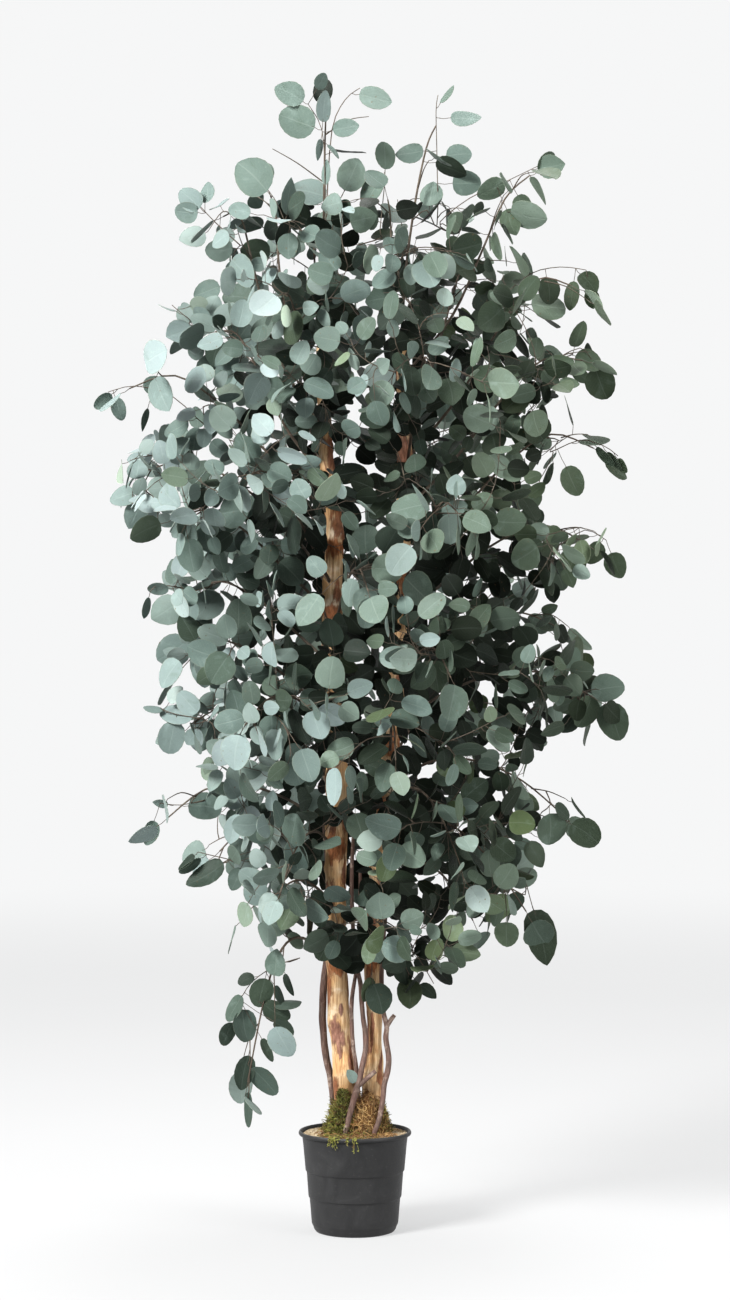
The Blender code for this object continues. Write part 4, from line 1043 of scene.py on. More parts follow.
def grow_crown():
    """All wood and leaves of the crown."""
    sprays = plan_sprays()
    growth = Growth(sprays)
    for rings in TRUNKS.values():
        solid_wood(growth.crowd, rings)
    for rings, _ in VINES.values():
        solid_wood(growth.crowd, rings)
    for name, (butt, line, radius, twigs, tips, sides) in sprays.items():
        growth.add_wood(name, smooth_line([butt] + line, 4), (radius * 0.92, STEM_TIP_RADIUS * 0.6))
        for twig in twigs:
            if not beside_crown(twig[-1:]):
                growth.add_wood(name, smooth_line(twig, 4), (TWIG_RADIUS * 0.72, 0.0006))
        for leaf in [leaf for leaf in tips + sides if leaf]:
            leaf = {k: np.array(v) if isinstance(v, Vector) else v for k, v in leaf.items()}
            if not beside_crown(leaf_cloud(leaf)[1]):
                growth.add_leaf(name, leaf)
    draw = random.Random(77)
    place_sprigs(growth, draw)
    for name, (_, line, _, twigs, _, _) in sprays.items():
        growth.leaf_line(name, smooth_line(line, 4), draw, *STEM_LEAVES)
        for twig in twigs:
            growth.leaf_line(name, smooth_line(twig, 4), draw, *TWIG_LEAVES, last=0.9)
    growth.fill(veil_targets(draw), draw)
    growth.fill(crown_targets(draw, 0.062, 9000), draw)

    def inside_front(spots):
        return in_outline(spots, 4) & (spots[:, 1] > OPEN_TOP)

    def inside_flank(spots):
        height = height_at(spots[:, 1])
        deep = (spots[:, 0] - FRAME_WIDE / 2) / TRUNK_SCALE - DEPTH_CENTRE
        heights, halves = zip(*DEPTHS)
        return (np.abs(deep) < np.interp(height, heights, halves) - 0.02) & (height > 0.45) & (height < 1.55)

    def by_trunks(spots):
        """Pixels over the trunks inside the crown, apart from the openings."""
        height = height_at(spots[:, 1])
        found = np.zeros(len(spots), bool)
        for rings in TRUNKS.values():
            found |= np.abs(spots[:, 0] - trunk_column(rings, height)) < TRUNK_BAND
        for window in WINDOWS:
            found &= ~in_window(spots, window)
        return found & (spots[:, 1] > 260) & (spots[:, 1] < 948)

    growth.close_gaps(growth.veil, to_frame, by_trunks, "front", draw, 0.99, 900, VEIL_DEPTH)
    growth.close_gaps(growth.front, to_frame, inside_front, "front", draw, 0.978, 900)
    growth.close_gaps(growth.flank, growth.side_frame, inside_flank, "flank", draw, 0.965, 500)
    return growth


def solid_wood(crowd, rings):
    """Takes the fine cells inside a trunk or a side stem."""
    for centre, radius in smooth_path(rings, 4 * len(rings) + 160):
        centre = np.array(centre)
        discs = [centre]
        for share in (0.35, 0.7, 1.0):
            for k in range(14):
                turn = math.tau * k / 14
                discs.append(centre + np.array((math.cos(turn), math.sin(turn), 0.0)) * (radius * share))
        crowd.take(np.array(discs), LEAF_OWNER)


# Meshes

def build_mesh(name, points, quads=(), tris=(), slots=None, smooth=40.0, **attributes):
    """An object from arrays of points and of four- and three-cornered faces. slots gives each face's material."""
    points = np.asarray(points, np.float32).reshape(-1, 3)
    quads = np.asarray(quads, np.int32).reshape(-1, 4)
    tris = np.asarray(tris, np.int32).reshape(-1, 3)
    mesh = bpy.data.meshes.new(name)
    mesh.vertices.add(len(points))
    mesh.vertices.foreach_set("co", points.ravel())
    loops = np.concatenate([quads.ravel(), tris.ravel()])
    mesh.loops.add(len(loops))
    mesh.loops.foreach_set("vertex_index", loops)
    mesh.polygons.add(len(quads) + len(tris))
    starts = np.concatenate([4 * np.arange(len(quads)), 4 * len(quads) + 3 * np.arange(len(tris))])
    mesh.polygons.foreach_set("loop_start", starts.astype(np.int32))
    if slots is not None:
        mesh.polygons.foreach_set("material_index", np.asarray(slots, np.int32))
    mesh.update(calc_edges=True)
    for key, values in attributes.items():
        layer = mesh.attributes.new(key, "FLOAT_VECTOR", "POINT")
        layer.data.foreach_set("vector", np.asarray(values, np.float32).ravel())
    mesh.shade_smooth()
    mesh.set_sharp_from_angle(angle=math.radians(smooth))
    obj = bpy.data.objects.new(name, mesh)
    bpy.context.scene.collection.objects.link(obj)
    return obj


def dress(obj, node, slot, *finishes):
    """Gives a piece its materials and puts it in place of its node."""
    for finish in finishes:
        obj.data.materials.append(finish)
    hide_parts(node)
    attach(obj, "root")


def frames(line):
    """Directions along a line, and two more square to each, turned as little as possible from point to point."""
    ahead = np.gradient(line, axis=0)
    ahead /= np.maximum(np.linalg.norm(ahead, axis=1), 1e-9)[:, None]
    across = np.zeros_like(ahead)
    last = np.array(TUBE_ACROSS)
    for i, forward in enumerate(ahead):
        last = last - forward * last.dot(forward)
        last /= np.linalg.norm(last)
        across[i] = last
    return ahead, across, np.cross(ahead, across)


def tube_faces(rings, sides):
    """Quads and triangles of a closed tube of rings, the last two points of which are its ends."""
    k = np.arange(sides)
    ring = np.stack([k, (k + 1) % sides, (k + 1) % sides + sides, k + sides], axis=1)
    quads = (ring[None] + (np.arange(rings - 1) * sides)[:, None, None]).reshape(-1, 4)
    last, end = (rings - 1) * sides, rings * sides
    tris = np.concatenate([
        np.stack([(k + 1) % sides, k, np.full(sides, end)], axis=1),
        np.stack([last + k, last + (k + 1) % sides, np.full(sides, end + 1)], axis=1),
    ])
    return quads, tris


def pipe(line, radii, sides, point=0.5):
    """Points, quads and triangles of a closed tube round a line. Its ends are blunt points."""
    line = np.asarray(line, float)
    radii = np.broadcast_to(np.asarray(radii, float), (len(line),)) if np.ndim(radii) < 2 else radii
    ahead, across, up = frames(line)
    turn = math.tau * (np.arange(sides) + 0.5) / sides
    round_ = across[:, None] * np.cos(turn)[None, :, None] + up[:, None] * np.sin(turn)[None, :, None]
    wide = radii[:, None, None] if np.ndim(radii) == 1 else radii[:, :, None]
    rings = line[:, None] + round_ * wide
    reach = radii if np.ndim(radii) == 1 else radii.mean(axis=1)
    ends = np.array([line[0] - ahead[0] * reach[0] * point, line[-1] + ahead[-1] * reach[-1] * point])
    points = np.concatenate([rings.reshape(-1, 3), ends])
    return points, *tube_faces(len(line), sides)


class Batch:
    """Many closed shells gathered in one mesh."""

    def __init__(self):
        self.points, self.quads, self.tris, self.slots_q, self.slots_t = [], [], [], [], []
        self.extra = {}
        self.count = 0

    def add(self, points, quads, tris, slot=0, **attributes):
        self.points.append(np.asarray(points, float).reshape(-1, 3))
        self.quads.append(np.asarray(quads, int).reshape(-1, 4) + self.count)
        self.tris.append(np.asarray(tris, int).reshape(-1, 3) + self.count)
        self.slots_q.append(np.full(len(self.quads[-1]), slot))
        self.slots_t.append(np.full(len(self.tris[-1]), slot))
        size = len(self.points[-1])
        for key, values in attributes.items():
            self.extra.setdefault(key, []).append(np.broadcast_to(np.asarray(values, float), (size, 3)))
        self.count += size

    def tube(self, line, radii, sides, slot=0, **attributes):
        """Adds a closed tube round a line."""
        self.add(*pipe(line, radii, sides), slot, **attributes)

    def make(self, name, smooth=40.0):
        return build_mesh(
            name, np.concatenate(self.points), np.concatenate(self.quads), np.concatenate(self.tris),
            np.concatenate(self.slots_q + self.slots_t), smooth,
            **{key: np.concatenate(values) for key, values in self.extra.items()})


BLADE_ROWS = 7
BLADE_COLUMNS = (-1.0, -0.55, 0.0, 0.55, 1.0)


def blade_template():
    """Places (along, across, half width) on one side of a blade, and the faces of the whole closed blade.

    The points of the upper side come first, then the same for the lower side.
    """
    places = [(0.0, 0.0, 0.0)]
    for k in range(1, BLADE_ROWS + 1):
        turn = math.pi * k / (BLADE_ROWS + 1)
        along_ = (1 - math.cos(turn)) / 2
        half = math.sin(turn) ** 0.92 * (1 + 0.16 * (0.5 - along_))
        places += [(along_, c, half) for c in BLADE_COLUMNS]
    places.append((1.0, 0.0, 0.0))
    wide = len(BLADE_COLUMNS)
    tip = len(places) - 1
    quads, tris = [], []
    for k in range(BLADE_ROWS - 1):
        for c in range(wide - 1):
            a = 1 + k * wide + c
            quads.append((a, a + 1, a + 1 + wide, a + wide))
    for c in range(wide - 1):
        tris.append((0, 2 + c, 1 + c))
        a = 1 + (BLADE_ROWS - 1) * wide + c
        tris.append((a, a + 1, tip))
    low = len(places)
    quads += [tuple(low + i for i in reversed(q)) for q in list(quads)]
    tris += [tuple(low + i for i in reversed(t)) for t in list(tris)]
    left = [1 + k * wide for k in range(BLADE_ROWS)]
    right = [wide + k * wide for k in range(BLADE_ROWS)]
    rim = [0] + right + [tip] + left[::-1]
    for a, b in zip(rim, rim[1:] + rim[:1]):
        quads.append((b, a, a + low, b + low))
    return np.array(places), np.array(quads), np.array(tris)


BLADE, BLADE_QUADS, BLADE_TRIS = blade_template()
BLADE_THICKNESS = 0.0005
PETIOLE_RADII = [0.00055 * 1.1, 0.00055, 0.00055, 0.00055 * 0.6]


def add_leaves(batch, leaves, draw):
    """Adds all leaves of a spray to a batch: each a closed blade and a closed stalk."""
    if not leaves:
        return
    grid = {k: np.array([leaf[k] for leaf in leaves], float) for k in
            ("root", "stalk", "side", "blade", "face", "petiole", "length", "width", "bend")}
    count = len(leaves)
    uniform = lambda low, high: np.array([draw.uniform(low, high) for _ in range(count)])[:, None]
    base = grid["root"] + grid["stalk"] * grid["petiole"][:, None]
    length = grid["length"][:, None]
    half = length * grid["width"][:, None] / 2
    t, c, h = (BLADE[None, :, k] for k in range(3))
    fold, cup, wave, phase = uniform(-0.05, 0.22), uniform(-0.10, 0.10), uniform(0.0, 0.05), uniform(0, math.tau)
    twist, skew = uniform(-0.28, 0.28), uniform(-0.05, 0.05)
    egg = uniform(-0.05, 0.30)
    # From a round tip to a pointed one
    point = uniform(-0.12, 0.80) * t**2
    nick = uniform(0.0, 0.035)
    across = c * h ** (1 + point) * (1 + egg * (0.5 - t)) * half
    bow = skew * np.sin(math.pi * t) * length
    rise = grid["bend"][:, None] * length * 0.16 * t * (1 - t)
    rise = rise + np.abs(c) * h * fold * half + (c * h) ** 2 * cup * half
    rise = rise + wave * half * np.abs(c) ** 3 * np.sin(phase + 7.0 * t + 2.0 * c)
    rise = rise + twist * across * (t - 0.3)
    # A slightly notched or pointed tip, and a rounded base
    ahead = t * length + nick * length * (np.abs(c) * h) * np.sin(phase * 3)
    centre = base[:, None] + grid["blade"][:, None] * ahead[..., None] + grid["face"][:, None] * rise[..., None]
    centre = centre + grid["side"][:, None] * (across + bow)[..., None]
    lift = grid["face"][:, None] * (BLADE_THICKNESS / 2)
    points = np.concatenate([centre + lift, centre - lift], axis=1)
    size = points.shape[1]
    offsets = (np.arange(count) * size)[:, None, None]
    # The tones carry painted light and shade as well as each leaf's own lightness
    tone = leaf_tones_and_painted_shade(leaves, draw)
    place = np.stack([np.broadcast_to(c, (count, len(BLADE))), np.broadcast_to(t, (count, len(BLADE))),
                      np.ones((count, len(BLADE)))], axis=2)
    under = place.copy()
    under[..., 2] = 0.0
    batch.add(points, BLADE_QUADS[None] + offsets, BLADE_TRIS[None] + offsets, 0,
              leaf_place=np.concatenate([place, under], axis=1).reshape(-1, 3),
              leaf_tone=np.repeat(tone, size, axis=0))
    # Stalks: three-sided tubes from the twig to a little way under the blade
    sag = np.array((0, 0, -0.0015))
    for i in range(count):
        root, foot = grid["root"][i], base[i]
        under = base[i] + grid["blade"][i] * length[i] * 0.10 - grid["face"][i] * 0.0002
        batch.tube([root, (root + foot) / 2 + sag, foot, under], PETIOLE_RADII, 3, 1,
                   leaf_place=(0, 0, 0), leaf_tone=tone[i])


def leaf_tones_and_painted_shade(leaves, draw):
    """Tone from dark to pale, with painted light and shade in it, share of olive, and a seed for each leaf."""
    tones = []
    for leaf in leaves:
        x, _, z = leaf["root"]
        # The left of the crown is bluer, its right and foot greener, its top a little paler. Painted light and shade
        # in the tone: paler on the left towards the key lamp, darker on the shaded right, and near black deep inside
        # the crown as painted shade
        shade_depth = 1 - min(crown_share(np.array([leaf["root"]]))[0], 1.0)
        tone = 0.60 - 0.50 * (x - 0.02) / 0.35 * 0.5 + 0.08 * (z - 0.95) + draw.gauss(0, 0.19) - 1.15 * shade_depth**1.1
        olive = max(0.0, draw.gauss(0.10, 0.12) + 0.28 * (x - 0.02) / 0.35 - 0.10 * (z - 0.95))
        if x > 0.15 and z > 1.05:
            olive += 0.22
        if draw.random() < 0.035 and "tone" not in leaf:
            olive += 0.45
        elif x > 0.0 and z < 0.85 and draw.random() < 0.10:
            olive += 0.6
            tone += 0.12
        # Sprig leaves take their listed tone, which is partly their own colour and partly painted shade
        if "tone" in leaf:
            tone = leaf["tone"] + draw.gauss(0, 0.07)
        tones.append((min(max(tone, 0.0), 1.0), min(olive, 1.0), draw.random()))
    return np.array(tones)


# Sides of stems and of thinner twigs, and the radius that parts them
STEM_SIDES, TWIG_SIDES, STEM_FROM = 7, 5, 0.002


def build_spray(growth, name, finishes, draw):
    """One piece with the stems, twigs, leaves and stalks of a spray."""
    batch = Batch()
    for line, (thick, thin) in growth.twigs[name]:
        share = np.linspace(0, 1, len(line))
        sides = STEM_SIDES if thick > STEM_FROM else TWIG_SIDES
        batch.tube(line, thick + (thin - thick) * share**0.8, sides, 1,
                   leaf_place=(0, 0, 0), leaf_tone=(draw.random(), 0, 0))
    add_leaves(batch, growth.leaves[name], draw)
    dress(batch.make(name + "_foliage", 50), name, "eucalyptus_foliage", *finishes)


# Trunks and side stems

TRUNK_FINE_SIDES = 44
TRUNK_FINE_STEP = 0.0045
# Bark left on a trunk, as height, turn round it in degrees (-90 is the front), half height, half turn and hue from
# 0, rust, to 1, purple brown
BARK = {
    "trunk_left": (
        (0.376, -152, 0.026, 34, 0.1), (0.410, -100, 0.016, 70, 0.0), (0.305, -105, 0.030, 46, 0.8),
        (0.345, -70, 0.016, 14, 0.9), (0.222, -160, 0.020, 40, 0.2), (0.262, -40, 0.030, 26, 0.5),
        (0.455, -60, 0.030, 40, 0.1), (0.520, -130, 0.030, 36, 0.6), (0.595, -85, 0.022, 60, 0.1),
        (0.640, -40, 0.030, 30, 0.4), (0.700, -120, 0.040, 36, 0.7), (0.960, -100, 0.012, 80, 0.1),
        (0.985, -60, 0.020, 34, 0.3), (1.060, -110, 0.016, 70, 0.0), (1.100, -60, 0.030, 50, 0.2),
        (0.420, 80, 0.060, 60, 0.5), (0.300, 60, 0.050, 50, 0.2), (0.560, 110, 0.060, 60, 0.7),
        (0.760, 60, 0.070, 50, 0.3), (0.900, 130, 0.060, 60, 0.6), (1.200, 0, 0.060, 90, 0.4),
    ),
    "trunk_right": (
        (0.425, -80, 0.022, 60, 0.1), (0.470, -120, 0.030, 50, 0.4), (0.300, -160, 0.050, 26, 0.7),
        (0.235, -40, 0.016, 30, 0.2), (0.560, -60, 0.040, 40, 0.5), (0.650, -110, 0.030, 50, 0.2),
        (0.755, -90, 0.020, 60, 0.1), (0.850, -60, 0.040, 40, 0.5), (1.010, -90, 0.030, 80, 0.1),
        (1.200, -90, 0.060, 90, 0.6), (0.330, 90, 0.060, 60, 0.4), (0.500, 60, 0.070, 60, 0.2),
        (0.700, 100, 0.070, 60, 0.6), (0.950, 80, 0.080, 70, 0.4),
    ),
}
# Knots and joints that swell a trunk: height, turn, size
KNOTS = {
    "trunk_left": ((0.287, -90, 0.0016, 0.010), (0.325, -120, 0.0022, 0.010), (0.236, -95, 0.0018, 0.012),
                   (0.418, -140, 0.0020, 0.012), (0.500, -60, 0.0020, 0.014), (0.610, -100, 0.0026, 0.014),
                   (0.690, -130, 0.0020, 0.016), (0.790, -60, 0.0024, 0.016), (0.965, -90, 0.0028, 0.014),
                   (1.075, -70, 0.0022, 0.014)),
    "trunk_right": ((0.265, -70, 0.0014, 0.012), (0.232, -120, 0.0018, 0.012), (0.420, -60, 0.0020, 0.014),
                    (0.560, -110, 0.0022, 0.014), (0.740, -80, 0.0022, 0.014), (1.000, -90, 0.0022, 0.014)),
}


def turn_apart(a, b):
    return (a - b + math.pi) % math.tau - math.pi


def build_fine_trunk(name, finish, roots, index):
    """A trunk along the same rings as its solid, with ridges, knots, joints and flakes of bark."""
    rings = TRUNKS[name]
    phase = index * 2.1
    low, high = rings[0][2], rings[-1][2]
    count = int((high - low) / TRUNK_FINE_STEP)
    sides = TRUNK_FINE_SIDES
    path = smooth_path(rings, count)
    line = np.array([p for p, _ in path])
    turn = math.tau * (np.arange(sides) + 0.5) / sides
    _, across, up = frames(line)
    collars = [(spray_root[2], math.atan2(spray_root[1] - line[:, 1].mean(), spray_root[0] - line[:, 0].mean()))
               for spray_root in roots]
    radii = np.zeros((count, sides))
    bark = np.zeros((count, sides, 3))
    for i, (centre, radius) in enumerate(path):
        ring = i / (count - 1) * (TRUNK_RINGS - 1)
        z = centre[2]
        for k, angle in enumerate(turn):
            out = across[i] * math.cos(angle) + up[i] * math.sin(angle)
            heading = math.atan2(out[1], out[0])
            spot_at = Vector((out[0] * 0.016, out[1] * 0.016, z))
            shape = 1 + RIPPLE_OVAL * math.sin(2 * angle + ring * 0.9 + phase)
            shape += RIPPLE_LOBES * math.sin(3 * angle - ring * 1.3 + phase)
            lump = noise.noise(Vector((spot_at.x * 60, spot_at.y * 60, z * 22 + index * 7)))
            ridge = noise.noise(Vector((spot_at.x * 330, spot_at.y * 330, z * 26 + index * 3)))
            fibre = noise.noise(Vector((spot_at.x * 900, spot_at.y * 900, z * 60)))
            reach = radius * shape + 0.0013 * lump + 0.00065 * ridge + 0.00024 * fibre
            for knot_z, knot_turn, tall, wide in KNOTS[name]:
                d = math.hypot(z - knot_z, 0.6 * turn_apart(heading, math.radians(knot_turn)) * radius)
                reach += 1.25 * tall * math.exp(-(d / wide) ** 2)
            for collar_z, collar_turn in collars:
                if abs(z - collar_z) < 0.03:
                    d = math.hypot(z - collar_z - 0.002, turn_apart(heading, collar_turn) * radius)
                    reach += 0.0026 * math.exp(-(d / 0.0065) ** 2)
            edge = noise.noise(Vector((spot_at.x * 120, spot_at.y * 120, z * 60 + 20 + index * 9)))
            torn = noise.noise(Vector((spot_at.x * 420, spot_at.y * 420, z * 130 + 3)))
            cover, hue = 0.0, 0.5
            for bark_z, bark_turn, tall, wide, kind in BARK[name]:
                d = math.hypot((z - bark_z) / tall, turn_apart(heading, math.radians(bark_turn)) / math.radians(wide))
                here = 1.25 - d + 0.55 * edge + 0.28 * torn
                if here > cover:
                    cover, hue = here, kind
            scatter = noise.noise(Vector((spot_at.x * 75, spot_at.y * 75, z * 17 + 41 + index * 5)))
            cover = max(cover, (scatter - 0.30) * 4.0 + 0.4 * torn)
            share = min(max((cover - 0.30) / 0.16, 0.0), 1.0)
            reach += 0.00065 * share + 0.0003 * share * torn
            radii[i, k] = reach
            # The third share is the ridge height, which the wood's finish darkens in the grooves as painted shade
            bark[i, k] = (min(max((cover - 0.02) / 0.72, 0.0), 1.0), hue, 0.5 + 0.5 * ridge)
    points, quads, tris = pipe(line, radii, sides, 0.25)
    extra = np.concatenate([bark.reshape(-1, 3), [[0, 0.5, 0.5], [0, 0.5, 0.5]]])
    dress(build_mesh(name + "_wood", points, quads, tris, None, 60, bark=extra), name, "peeled_bark", finish)


def build_fine_vine(name, rings, stub, finish, index):
    """A side stem with thin wrinkled bark, small nodes and cut ends."""
    batch = Batch()
    for path in [rings] + ([stub] if stub else []):
        count = 12 * (len(path) - 1) + 1
        sides = 18
        curve = smooth_path(path, count)
        line = np.array([p for p, _ in curve])
        _, across, up = frames(line)
        radii = np.zeros((count, sides))
        share = np.zeros((count, sides, 3))
        for i, (centre, radius) in enumerate(curve):
            for k in range(sides):
                angle = math.tau * (k + 0.5) / sides
                out = across[i] * math.cos(angle) + up[i] * math.sin(angle)
                spot_at = out * radius
                ridge = noise.noise(Vector((spot_at[0] * 500, spot_at[1] * 500, centre[2] * 40 + index)))
                lump = noise.noise(Vector((spot_at[0] * 90, spot_at[1] * 90, centre[2] * 55 + index * 3)))
                radii[i, k] = radius * (1 + 0.07 * ridge + 0.10 * lump)
                share[i, k] = (min(max(0.5 + 1.6 * lump, 0), 1), 0.7, 0.5 + 0.5 * ridge)
        points, quads, tris = pipe(line, radii, sides, 0.12)
        ends = [[0, 0, 1], [0, 0, 1]]
        batch.add(points, quads, tris, 0, bark=np.concatenate([share.reshape(-1, 3), ends]))
    dress(batch.make(name + "_wood", 60), name, "brown_bark", finish)


# Pot, filling and moss

POT_FINE_SIDES = 128
POT_FINE_OUTSIDE = (
    (0.0, 0.0012), (0.030, 0.0012), (0.050, 0.0010), (0.0530, 0.0), (0.0575, 0.0), (0.0612, 0.0012),
    (0.0634, 0.0045), (0.0645, 0.0080), (0.0660, 0.0112), (0.0668, 0.0128), (0.0672, 0.0150), (0.0680, 0.0250),
    (0.0690, 0.0380), (0.0700, 0.0490), (0.0703, 0.0520), (0.0710, 0.0532), (0.0718, 0.0539), (0.0721, 0.0552),
    (0.0730, 0.0680), (0.0740, 0.0820), (0.0747, 0.0915), (0.0750, 0.0931), (0.0757, 0.0940), (0.0764, 0.0947),
    (0.0767, 0.0961), (0.0778, 0.1090), (0.0791, 0.1230), (0.0802, 0.1350), (0.0808, 0.1400), (0.0814, 0.1450),
    (0.0820, 0.1482), (0.0836, 0.1488), (0.0855, 0.1492), (0.0865, 0.1499), (0.0871, 0.1512), (0.0872, 0.1528),
    (0.0868, 0.1543), (0.0859, 0.1554), (0.0847, 0.1558), (0.0836, 0.1554), (0.0827, 0.1542), (0.0818, 0.1518),
    (0.0803, 0.1455), (0.0790, 0.1395), (0.0786, 0.1380), (0.0642, 0.0140), (0.0600, 0.0052), (0.0, 0.0048),
)


def build_fine_pot(finish):
    rings = POT_FINE_OUTSIDE[1:-1]
    turn = math.tau * np.arange(POT_FINE_SIDES) / POT_FINE_SIDES
    profile = np.array(rings)
    # Moulded plastic isn't quite round
    out = 1 + 0.0022 * np.sin(2 * turn + 0.7)[None] * (profile[:, 1:] / 0.156)
    x = profile[:, :1] * np.cos(turn)[None] * out
    y = profile[:, :1] * np.sin(turn)[None] * out
    z = np.broadcast_to(profile[:, 1:], x.shape)
    points = np.concatenate([np.stack([x, y, z], axis=2).reshape(-1, 3),
                             [(0, 0, POT_FINE_OUTSIDE[0][1]), (0, 0, POT_FINE_OUTSIDE[-1][1])]])
    faces = tube_faces(len(rings), POT_FINE_SIDES)
    dress(build_mesh("pot_moulded", points, *faces, None, 32), "pot", "black_plastic", finish)


def grain(draw):
    """Points and faces of a small rough grain of about unit size."""
    axes = np.array([(1, 0, 0), (-1, 0, 0), (0, 1, 0), (0, -1, 0), (0, 0, 1), (0, 0, -1)], float)
    points = axes * np.array([[draw.uniform(0.55, 1.1)] for _ in range(6)])
    tris = ((0, 2, 4), (2, 1, 4), (1, 3, 4), (3, 0, 4), (2, 0, 5), (1, 2, 5), (3, 1, 5), (0, 3, 5))
    return points, tris


def build_fine_filling(finish):
    """Gritty top of the filling: an uneven bed with loose grains pressed into it."""
    draw = random.Random(31)
    batch = Batch()
    rings, sides = 26, 96
    reach = 0.0809
    points, quads = [], []
    for i in range(rings + 1):
        share = i / rings
        for k in range(sides):
            turn = math.tau * k / sides
            radius = 0.004 + (reach - 0.004) * share
            x, y = radius * math.cos(turn), radius * math.sin(turn)
            rough = 0.0009 * noise.noise(Vector((x * 90, y * 90, 0)))
            rough = rough + 0.0005 * noise.noise(Vector((x * 330, y * 330, 4)))
            points.append((x, y, FILL_TOP - 0.0002 + rough - 0.0006 * share))
    for i in range(rings):
        for k in range(sides):
            a, b = i * sides + k, i * sides + (k + 1) % sides
            quads.append((a, a + sides, b + sides, b))
    count = len(points)
    under = [(0.0638 * math.cos(math.tau * k / sides), 0.0638 * math.sin(math.tau * k / sides), 0.0145)
             for k in range(sides)]
    last = rings * sides
    points += under
    points += [(0, 0, FILL_TOP), (0, 0, 0.0140)]
    tris = [(k, (k + 1) % sides, count + sides) for k in range(sides)]
    tris += [(count + (k + 1) % sides, count + k, count + sides + 1) for k in range(sides)]
    quads += [(last + k, count + k, count + (k + 1) % sides, last + (k + 1) % sides) for k in range(sides)]
    batch.add(points, quads, tris, 0, grit=(0.5, 0, 0))
    for _ in range(1700):
        radius = 0.078 * math.sqrt(draw.uniform(0.12, 1.0))
        turn = draw.uniform(0, math.tau)
        shape, faces = grain(draw)
        size = draw.uniform(0.0005, 0.0013)
        centre = np.array((radius * math.cos(turn), radius * math.sin(turn), FILL_TOP - 0.0003))
        batch.add(shape * size + centre, (), faces, 0, grit=(draw.random(), 1, 0))
    dress(batch.make("filling_grit", 30), "filling", "pale_filling", finish)


def moss_height(x, y):
    """Height of the moss mound's surface above the filling."""
    cx, cy = MOSS_CENTRE
    share = math.hypot((x - cx) / MOSS_RADIUS[0], (y - cy) / MOSS_RADIUS[1])
    profile = [(0.0, MOSS_RINGS[-1][1])] + list(reversed(MOSS_RINGS)) + [(1.04, 0.0)]
    shares, heights = zip(*profile)
    return float(np.interp(share, shares, heights))


GREEN_TUFTS, GOLDEN_FIBRES = 2600, 2100


def build_fine_moss(name, finish, green, draw):
    """A half of the moss mound: a lumpy body under a coat of short tufts or long curling fibres."""
    batch = Batch()
    rows, columns = 30, 34
    top, low = [], []
    cx, cy = MOSS_CENTRE
    for i in range(rows + 1):
        for k in range(columns + 1):
            share = 1 - (1 - i / rows) ** 1.5
            turn = math.pi * (k / columns) + (math.pi / 2 if green else -math.pi / 2)
            lump = 1 + 0.06 * math.sin(5 * turn + 2 * share * 4)
            x = cx + MOSS_RADIUS[0] * share * lump * math.cos(turn) * 0.97
            y = cy + MOSS_RADIUS[1] * share * lump * math.sin(turn) * 0.97
            x = min(x, -0.0004) if green else max(x, 0.0004)
            rise = moss_height(x, y) * (1 + 0.25 * noise.noise(Vector((x * 70, y * 70, 3 if green else 9))))
            rise += 0.004 * noise.noise(Vector((x * 220, y * 220, 5)))
            top.append((x, y, FILL_TOP + max(rise * 0.86, 0.0012)))
            low.append((x, y, FILL_TOP + 0.0004))
    count = len(top)
    quads = []
    for i in range(rows):
        for k in range(columns):
            a = i * (columns + 1) + k
            quads.append((a, a + columns + 1, a + columns + 2, a + 1))
            quads.append(tuple(count + v for v in (a + 1, a + columns + 2, a + columns + 1, a)))
    rim = [rows * (columns + 1) + k for k in range(columns + 1)]
    rim = ([i * (columns + 1) for i in range(rows + 1)] + rim[1:]
           + [i * (columns + 1) + columns for i in range(rows - 1, -1, -1)])
    for a, b in zip(rim, rim[1:] + rim[:1]):
        quads.append((a, a + count, b + count, b))
    batch.add(top + low, quads, [], 0, tuft=(0.2, 0, 0))
    for _ in range(GREEN_TUFTS if green else GOLDEN_FIBRES):
        turn = draw.uniform(0, math.tau)
        share = draw.uniform(0.02, 1.0) ** 0.30 * 1.03
        x = cx + MOSS_RADIUS[0] * share * math.cos(turn)
        y = cy + MOSS_RADIUS[1] * share * math.sin(turn)
        right_tuft = x > 0.036 and y < 0.02
        if green and x > 0 and not (right_tuft or draw.random() < 0.07):
            continue
        if not green and x < (-0.006 if y < 0 else 0):
            continue
        z = FILL_TOP + moss_height(x, y) * draw.uniform(0.3, 0.95)
        out = normal((x - cx, y - cy, 0.022))
        if green:
            length = draw.uniform(0.006, 0.013)
            lean = normal(out * 0.8 + np.array((0, 0, 0.8)) + random_direction(draw) * 0.8)
            curl = random_direction(draw) * length * 0.3
            root = np.array((x, y, z - 0.002))
            line = [root, root + lean * length * 0.5, root + lean * length + curl]
            radii = [0.0007, 0.0009, 0.0003]
        else:
            length = draw.uniform(0.010, 0.026)
            level = normal(np.cross(out, random_direction(draw)))
            bow = normal(out + random_direction(draw) * 0.5)
            root = np.array((x, y, z))
            t = np.linspace(-0.5, 0.5, 6)
            arch = (0.25 - t**2) * 4
            line = root + level * (t * length)[:, None] + bow * (arch * length * 0.28)[:, None]
            line = line + np.cross(level, bow) * (np.sin(t * 7 + turn) * length * 0.12)[:, None]
            radii = [0.00042] * 6
        batch.tube(line, radii, 3, tuft=(draw.random(), 1, 0))
    loose_moss(batch, green, draw)
    if green:
        strands(batch, draw)
    dress(batch.make(name + "_tufts", 50), name, "green_moss" if green else "golden_moss", finish)


UPWARD = np.array((0.0, 0.0, 1.0))


